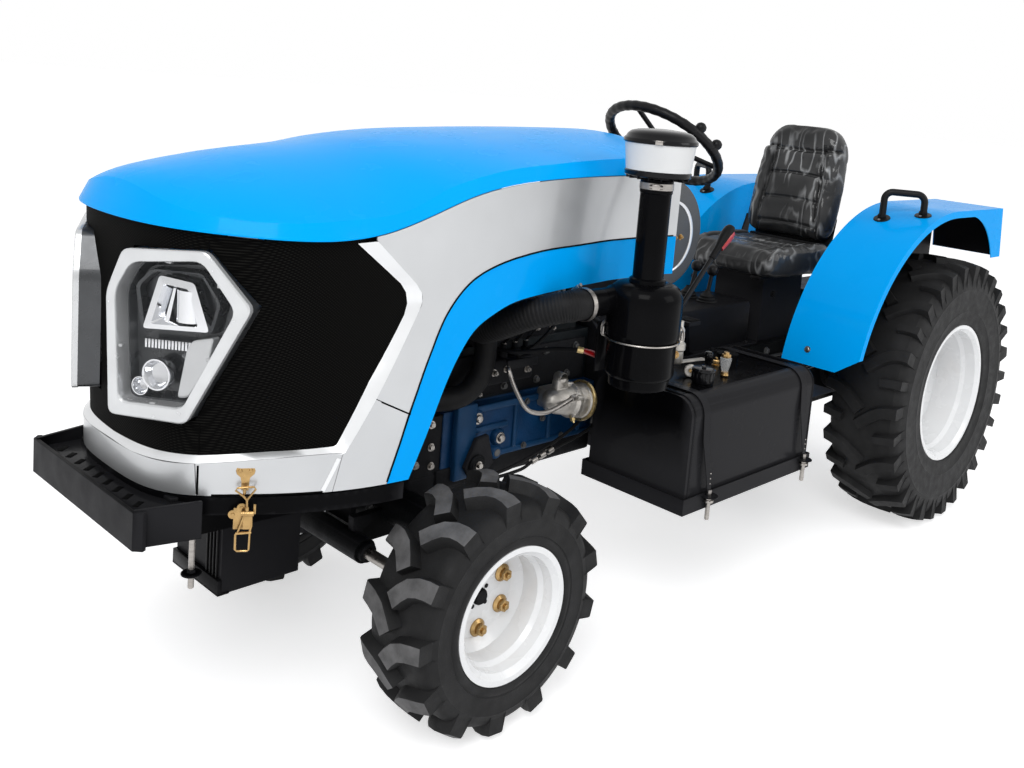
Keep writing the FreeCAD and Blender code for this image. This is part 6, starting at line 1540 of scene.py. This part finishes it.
def pan_relief(s, h):
    """Side bolsters and cross seams of the seat pan; h runs from its rear to its front."""
    deep = 0.0
    inner = 0.148
    bolster = max(0.0, min(1.0, (abs(s) - inner) / 0.03))
    deep += 0.014 * sin(bolster * pi / 2)
    deep -= 0.01 * groove(abs(s) - inner)
    if abs(s) < inner:
        for line in (0.105, 0.2, 0.295):
            deep -= 0.007 * groove(h - line, 0.005)
    deep -= 0.02 * max(0.0, (h - 0.36) / 0.08) ** 2
    return deep


def mirrored(half):
    """An outline closed by the mirror image of its right half, given from below upward."""
    return half + [(-s, h) for s, h in reversed(half) if s]


def seat():
    """The two stuffed pads with the back's plate, hinges, knobs and rails."""
    pan = middle("seat_cushion")
    low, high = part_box("seat_cushion")
    long, tall = high[0] - low[0], high[2] - low[2]
    outline = mirrored([(0.205, 0.0), (0.222, 0.06), (0.224, 0.3), (0.19, long - 0.01),
                        (0.08, long)])
    stuffed("seat_pan_pad", outline, (low[0], pan.y, pan.z), -Y, X, tall * 0.96,
            0.016, pan_relief, "seat_cushion")
    rest = middle("seat_back")
    lean = radians(12)
    up = Vector((-sin(lean), 0, cos(lean)))
    outline = mirrored([(0.165, -0.008), (0.192, 0.05), (0.194, 0.22), (0.178, 0.37),
                        (0.124, 0.442), (0.0, 0.448)])
    stuffed("seat_back_pad", outline, rest - up * 0.22, Y, up, 0.072, 0.016,
            back_relief, "seat_back")
    hard = Kit()
    hard.block(rest - up * 0.2 - Vector((0.036, 0, 0)), (0.01, 0.33, 0.15), up, (1, 0, 0.2),
               0.003)
    hard.block(at(0.215, 0, 0.905), (0.03, 0.32, 0.1), soft=0.004)
    for way in (1, -1):
        knee = at(0.205, way * 0.212, 0.905)
        hard.plate([(-0.06, -0.045), (0.06, -0.045), (0.066, -0.012), (0.01, 0.03),
                    (-0.02, 0.11), (-0.046, 0.104), (-0.03, 0.01), (-0.066, -0.012)]
                   [::way], knee, X, Z, -0.006, 0.001)
        hard.lathe([(0.026, 0), (0.028, 0.004), (0.026, 0.016), (0.018, 0.02), (0, 0.021)],
                   knee + Vector((0.012, way * 0.004, 0.01)), Y * way, 32)
        for turn in turns(12):
            hard.block(knee + Vector((0.012 + 0.0265 * cos(turn), way * 0.012,
                                      0.01 + 0.0265 * sin(turn))),
                       (0.006, 0.014, 0.006), soft=0.001)
        hard.block(at(0.41, way * 0.12, 0.8515), (0.38, 0.04, 0.012), soft=0.002)
        for x in (0.27, 0.55):
            hard.nut(at(x, way * 0.1655, 0.8), Y * way, 0.017, 0.01)
    hard.done("seat_hardware", BLACK_PLASTIC, soft=32)


seat()


# ------------------------------------------------------------------ fenders and handles

FENDER_HEIGHT = 0.474
FENDER_AXIS = at(0, 0, FENDER_HEIGHT)
FENDER_SHEET, FENDER_SHADE_RADIUS = 0.652, 0.646


def fender_details():
    """Front bolts, the hand rails' flanges, the rear panels and painted shade inside the fenders.
    """
    nuts, flanges, back, shade_sheet = (Kit() for _ in range(4))
    down = Vector((-0.03, 0, -0.188))
    drop, along = down.length, down.normalized()
    arch = [(FENDER_SHADE_RADIUS * sin(radians(t)), FENDER_HEIGHT + FENDER_SHADE_RADIUS * cos(radians(t)))
            for t in range(0, 70, 3)]
    path = [(-0.39, 1.12), (-0.2, 1.12), (-0.1, 1.12)] + arch
    outline = [(x + RX, z) for x, z in path + [(0.3, 0.72), (-0.15, 0.72), (-0.39, 0.78)]]
    for way in (1, -1):
        out = upright(radians(16.6))
        nuts.bolt(FENDER_AXIS + Y * way * 0.366 + out * 0.6525, out, 0.014)
        for x, y in ((0.235, 0.375), (0.16, 0.488)):
            spot = at(x, way * y, FENDER_HEIGHT + sqrt(FENDER_SHEET ** 2 - x * x))
            out = Vector((x, 0, spot.z - FENDER_HEIGHT)).normalized()
            flanges.lathe([(0.0125, 0.016), (0.0145, 0.014), (0.015, 0.004), (0.028, 0.0035),
                           (0.029, 0.0005)], spot, out, 32)
            for k in (-0.021, 0.021):
                nuts.nut(spot + Vector((out.z, 0, -out.x)) * k + out * 0.003, out,
                         0.009, 0.005, washer=False)
        inner, outer = sorted((way * 0.2815, way * 0.549))
        # painted shade: a black sheet on the inside of each rear panel
        for kit, start, edge, end, thick in ((back, (-0.395, 0.002), 0, 0.001, 0.003),
                                             (shade_sheet, (-0.3905, 0.012), 0.006, 0.003, 0.001)):
            a, b, c, d = inner + edge, outer - edge, start[1], drop - end
            kit.plate([(a, c), (b, c), (b, d), (a, d)], at(start[0], 0, 1.1255), Y, along,
                      thick, thick / 5)
        # painted shade: black sheets just under each fender's arched top and on its inner wall
        rows = []
        for x, z in path:
            fall = Vector((-x, 0, FENDER_HEIGHT - z)).normalized() * 0.001
            near, far = at(x, way * 0.287, z), at(x, way * 0.544, z)
            rows.append([near, far, far + fall, near + fall])
        shade_sheet.grid(rows, closed_v=True, caps=True)
        shade_sheet.plate(outline, (0, way * 0.287 + (0.001 if way == 1 else 0), 0), X, Z, 0.001,
                    0.0002)
    nuts.done("fender_bolts", STEEL)
    flanges.done("handle_flanges", BLACK_PLASTIC)
    back.done("fender_rear_panels", BLUE)
    shade_sheet.done("fender_shade_sheets", FRAME_BLACK)


fender_details()


# ------------------------------------------------------------------ nose frame, axle and hitch

def nose_frame():
    """Sheet behind the bumper, battery box ribs and angle, hanging rods and bolts."""
    ribs, steel, dark, sheet = (Kit() for _ in range(4))
    sheet.block(at(2.745, 0, 0.583), (0.112, 0.44, 0.004), soft=0.001)
    sheet.block(at(2.716, 0, 0.589), (0.018, 0.42, 0.01), soft=0.003)
    for k in range(-4, 5):
        dark.block(at(2.775, 0.045 * k, 0.5853), (0.026, 0.012, 0.0012), hint=(0.8, 0.6, 0),
                   soft=0.0004)
    for y in (0.084, 0.07, 0.056, 0.042):
        ribs.block(at(2.5495, y, 0.412), (0.007, 0.005, 0.19), soft=0.0015)
    sheet.block(at(2.552, 0, 0.312), (0.01, 0.206, 0.034), soft=0.0015)
    sheet.block(at(2.543, 0, 0.2965), (0.028, 0.206, 0.005), soft=0.001)
    for way in (1, -1):
        rod = at(2.638, way * 0.138, 0)
        sheet.block(rod + Z * 0.558, (0.034, 0.04, 0.01), soft=0.002)
        steel.lathe([(0, 0.355), (0.0055, 0.355), (0.0064, 0.357), (0.0064, 0.56),
                     (0, 0.56)], rod, Z, 16)
        sheet.lathe([(0, 0.385), (0.02, 0.385), (0.021, 0.386), (0.021, 0.3885),
                     (0.02, 0.3895), (0.0064, 0.3895)], rod, Z, 30)
        sheet.nut(rod + Z * 0.3895, Z, 0.016, 0.007, washer=False)
        for x in (2.725, 2.765):
            steel.nut(at(x, way * 0.1255, 0.56), Y * way, 0.013, 0.007)
    ribs.done("battery_ribs", BLACK_PLASTIC)
    steel.done("hanging_rods", STEEL)
    sheet.done("nose_sheet", BLACK)
    dark.done("nose_sheet_slots", SEAM)


def axle_details():
    """Case bolts, grease points, brake pipes, the shaft's collar and its shield."""
    bolts, brass, hose, steel, shield = (Kit() for _ in range(5))
    case = surface_of("transmission")
    for turn in turns(10):
        for way in (1, -1):
            bolts.nut(at(2.09, way * 0.088, 0.394) + upright(turn) * 0.064, Y * way,
                      0.013, 0.008)
            bolts.nut(at(0, way * 0.3985, 0.478) + upright(turn) * 0.084, -Y * way,
                      0.015, 0.01, washer=False)
    for way in (1, -1):
        for z, start, gap, count in ((0.585, 0.2, 0.15, 5), (0.37, 0.28, 0.18, 4)):
            for k in range(count):
                hit = case.ray_cast(at(start + gap * k, way * 0.25, z), -Y * way, 0.12)[0]
                if hit:
                    bolts.nut(hit, Y * way, 0.017, 0.01)
        for z, high in ((0.47, 0.014), (0.56, 0.01)):
            bolts.block(at(0.5, way * 0.137, z), (0.5, 0.008, high), soft=0.003)
        hose.tube(route(8, (1.3, way * 0.15, 0.56), (1.05, way * 0.165, 0.5),
                        (0.7, way * 0.16, 0.44), (0.35, way * 0.18, 0.5),
                        (0.12, way * 0.3, 0.56)), 0.006, 10)
    for turn in turns(12):
        spot = at(1.33, 0.182 * sin(turn), 0.635 + 0.182 * cos(turn))
        hit = case.ray_cast(spot - X * 0.2, X, 0.18)[0]
        if hit:
            bolts.nut(hit, -X, 0.014, 0.008, washer=False)
    brass.nut(at(2.09, 0, 0.47), Z, 0.014, 0.012, stud=0.006)
    brass.nut(at(0.3, 0.05, 0.6105), Z, 0.02, 0.014, stud=0.004)
    steel.lathe([(0.0165, 0), (0.0185, 0.002), (0.0185, 0.006), (0.0165, 0.008)],
                at(-0.25, 0, 0.45), -X, 24)
    outline = arc((0, 0), 0.085, 0, 180, 14)
    shield.grid([[at(reach, y * scale, 0.47 + z * scale) for y, z in outline]
                 for scale, reach in ((1, -0.168), (1, -0.258), (0.985, -0.262),
                                      (0.965, -0.258), (0.965, -0.168))], closed_u=True)
    bolts.done("axle_bolts", BOLT_BLACK)
    brass.done("breather_caps", BRASS)
    hose.done("brake_pipes", CABLE)
    steel.done("pto_collar", STEEL)
    shield.done("pto_shield", FRAME_BLACK, soft=40)


nose_frame()
axle_details()


# ------------------------------------------------------------------ stage

def seen_by_camera(tree):
    """1 for the rays that show the stage itself, 0 for the light that it gives the object."""
    rays = tree.nodes.new("ShaderNodeLightPath").outputs
    shown = sums(tree, "MAXIMUM", rays["Is Camera Ray"], rays["Is Glossy Ray"])
    return sums(tree, "MAXIMUM", shown, rays["Is Transmission Ray"])


def stage_floor():
    """A pale floor that shows white where it is lit and keeps the object's shadow."""
    kit = Kit()
    kit.grid([[(x, y, 0) for y in (-FLOOR_HALF, FLOOR_HALF)] for x in (-FLOOR_HALF, FLOOR_HALF)])
    mesh = kit.mesh("floor")
    floor = bpy.data.objects.new("floor", mesh)
    scene.collection.objects.link(floor)
    finish = surface("studio_floor", (0.86, 0.86, 0.87), 0.8, 0.0, 0.01, 0.6, specular=0.1)
    tree = finish.node_tree
    glow = spread(tree, seen_by_camera(tree), 0.0, FLOOR_GLOW, 0.0, 1.0)
    wire(tree, tree.nodes["Principled BSDF"], {"Emission Color": (1, 1, 1, 1),
                                               "Emission Strength": glow})
    mesh.materials.append(finish)


def stage_world():
    """A world that shows white and lights the object with less."""
    world = bpy.data.worlds.new("World")
    scene.world = world
    world.use_nodes = True
    tree = world.node_tree
    shown = spread(tree, seen_by_camera(tree), WORLD_LIGHT, 1.0, 0.0, 1.0)
    wire(tree, tree.nodes["Background"], {"Color": (1, 1, 1, 1), "Strength": shown})


FLOOR_HALF = 60
FLOOR_GLOW = 0.58
WORLD_LIGHT = 0.5
stage_floor()
stage_world()
lamp("key", (5.5, 3.5, 6.0), (0, 0, 0.6), 4.0, 330)
lamp("fill", (-3.0, 6.5, 4.0), (-0.3, 0, 0.6), 4.0, 140)
scene.view_settings.view_transform = "Standard"
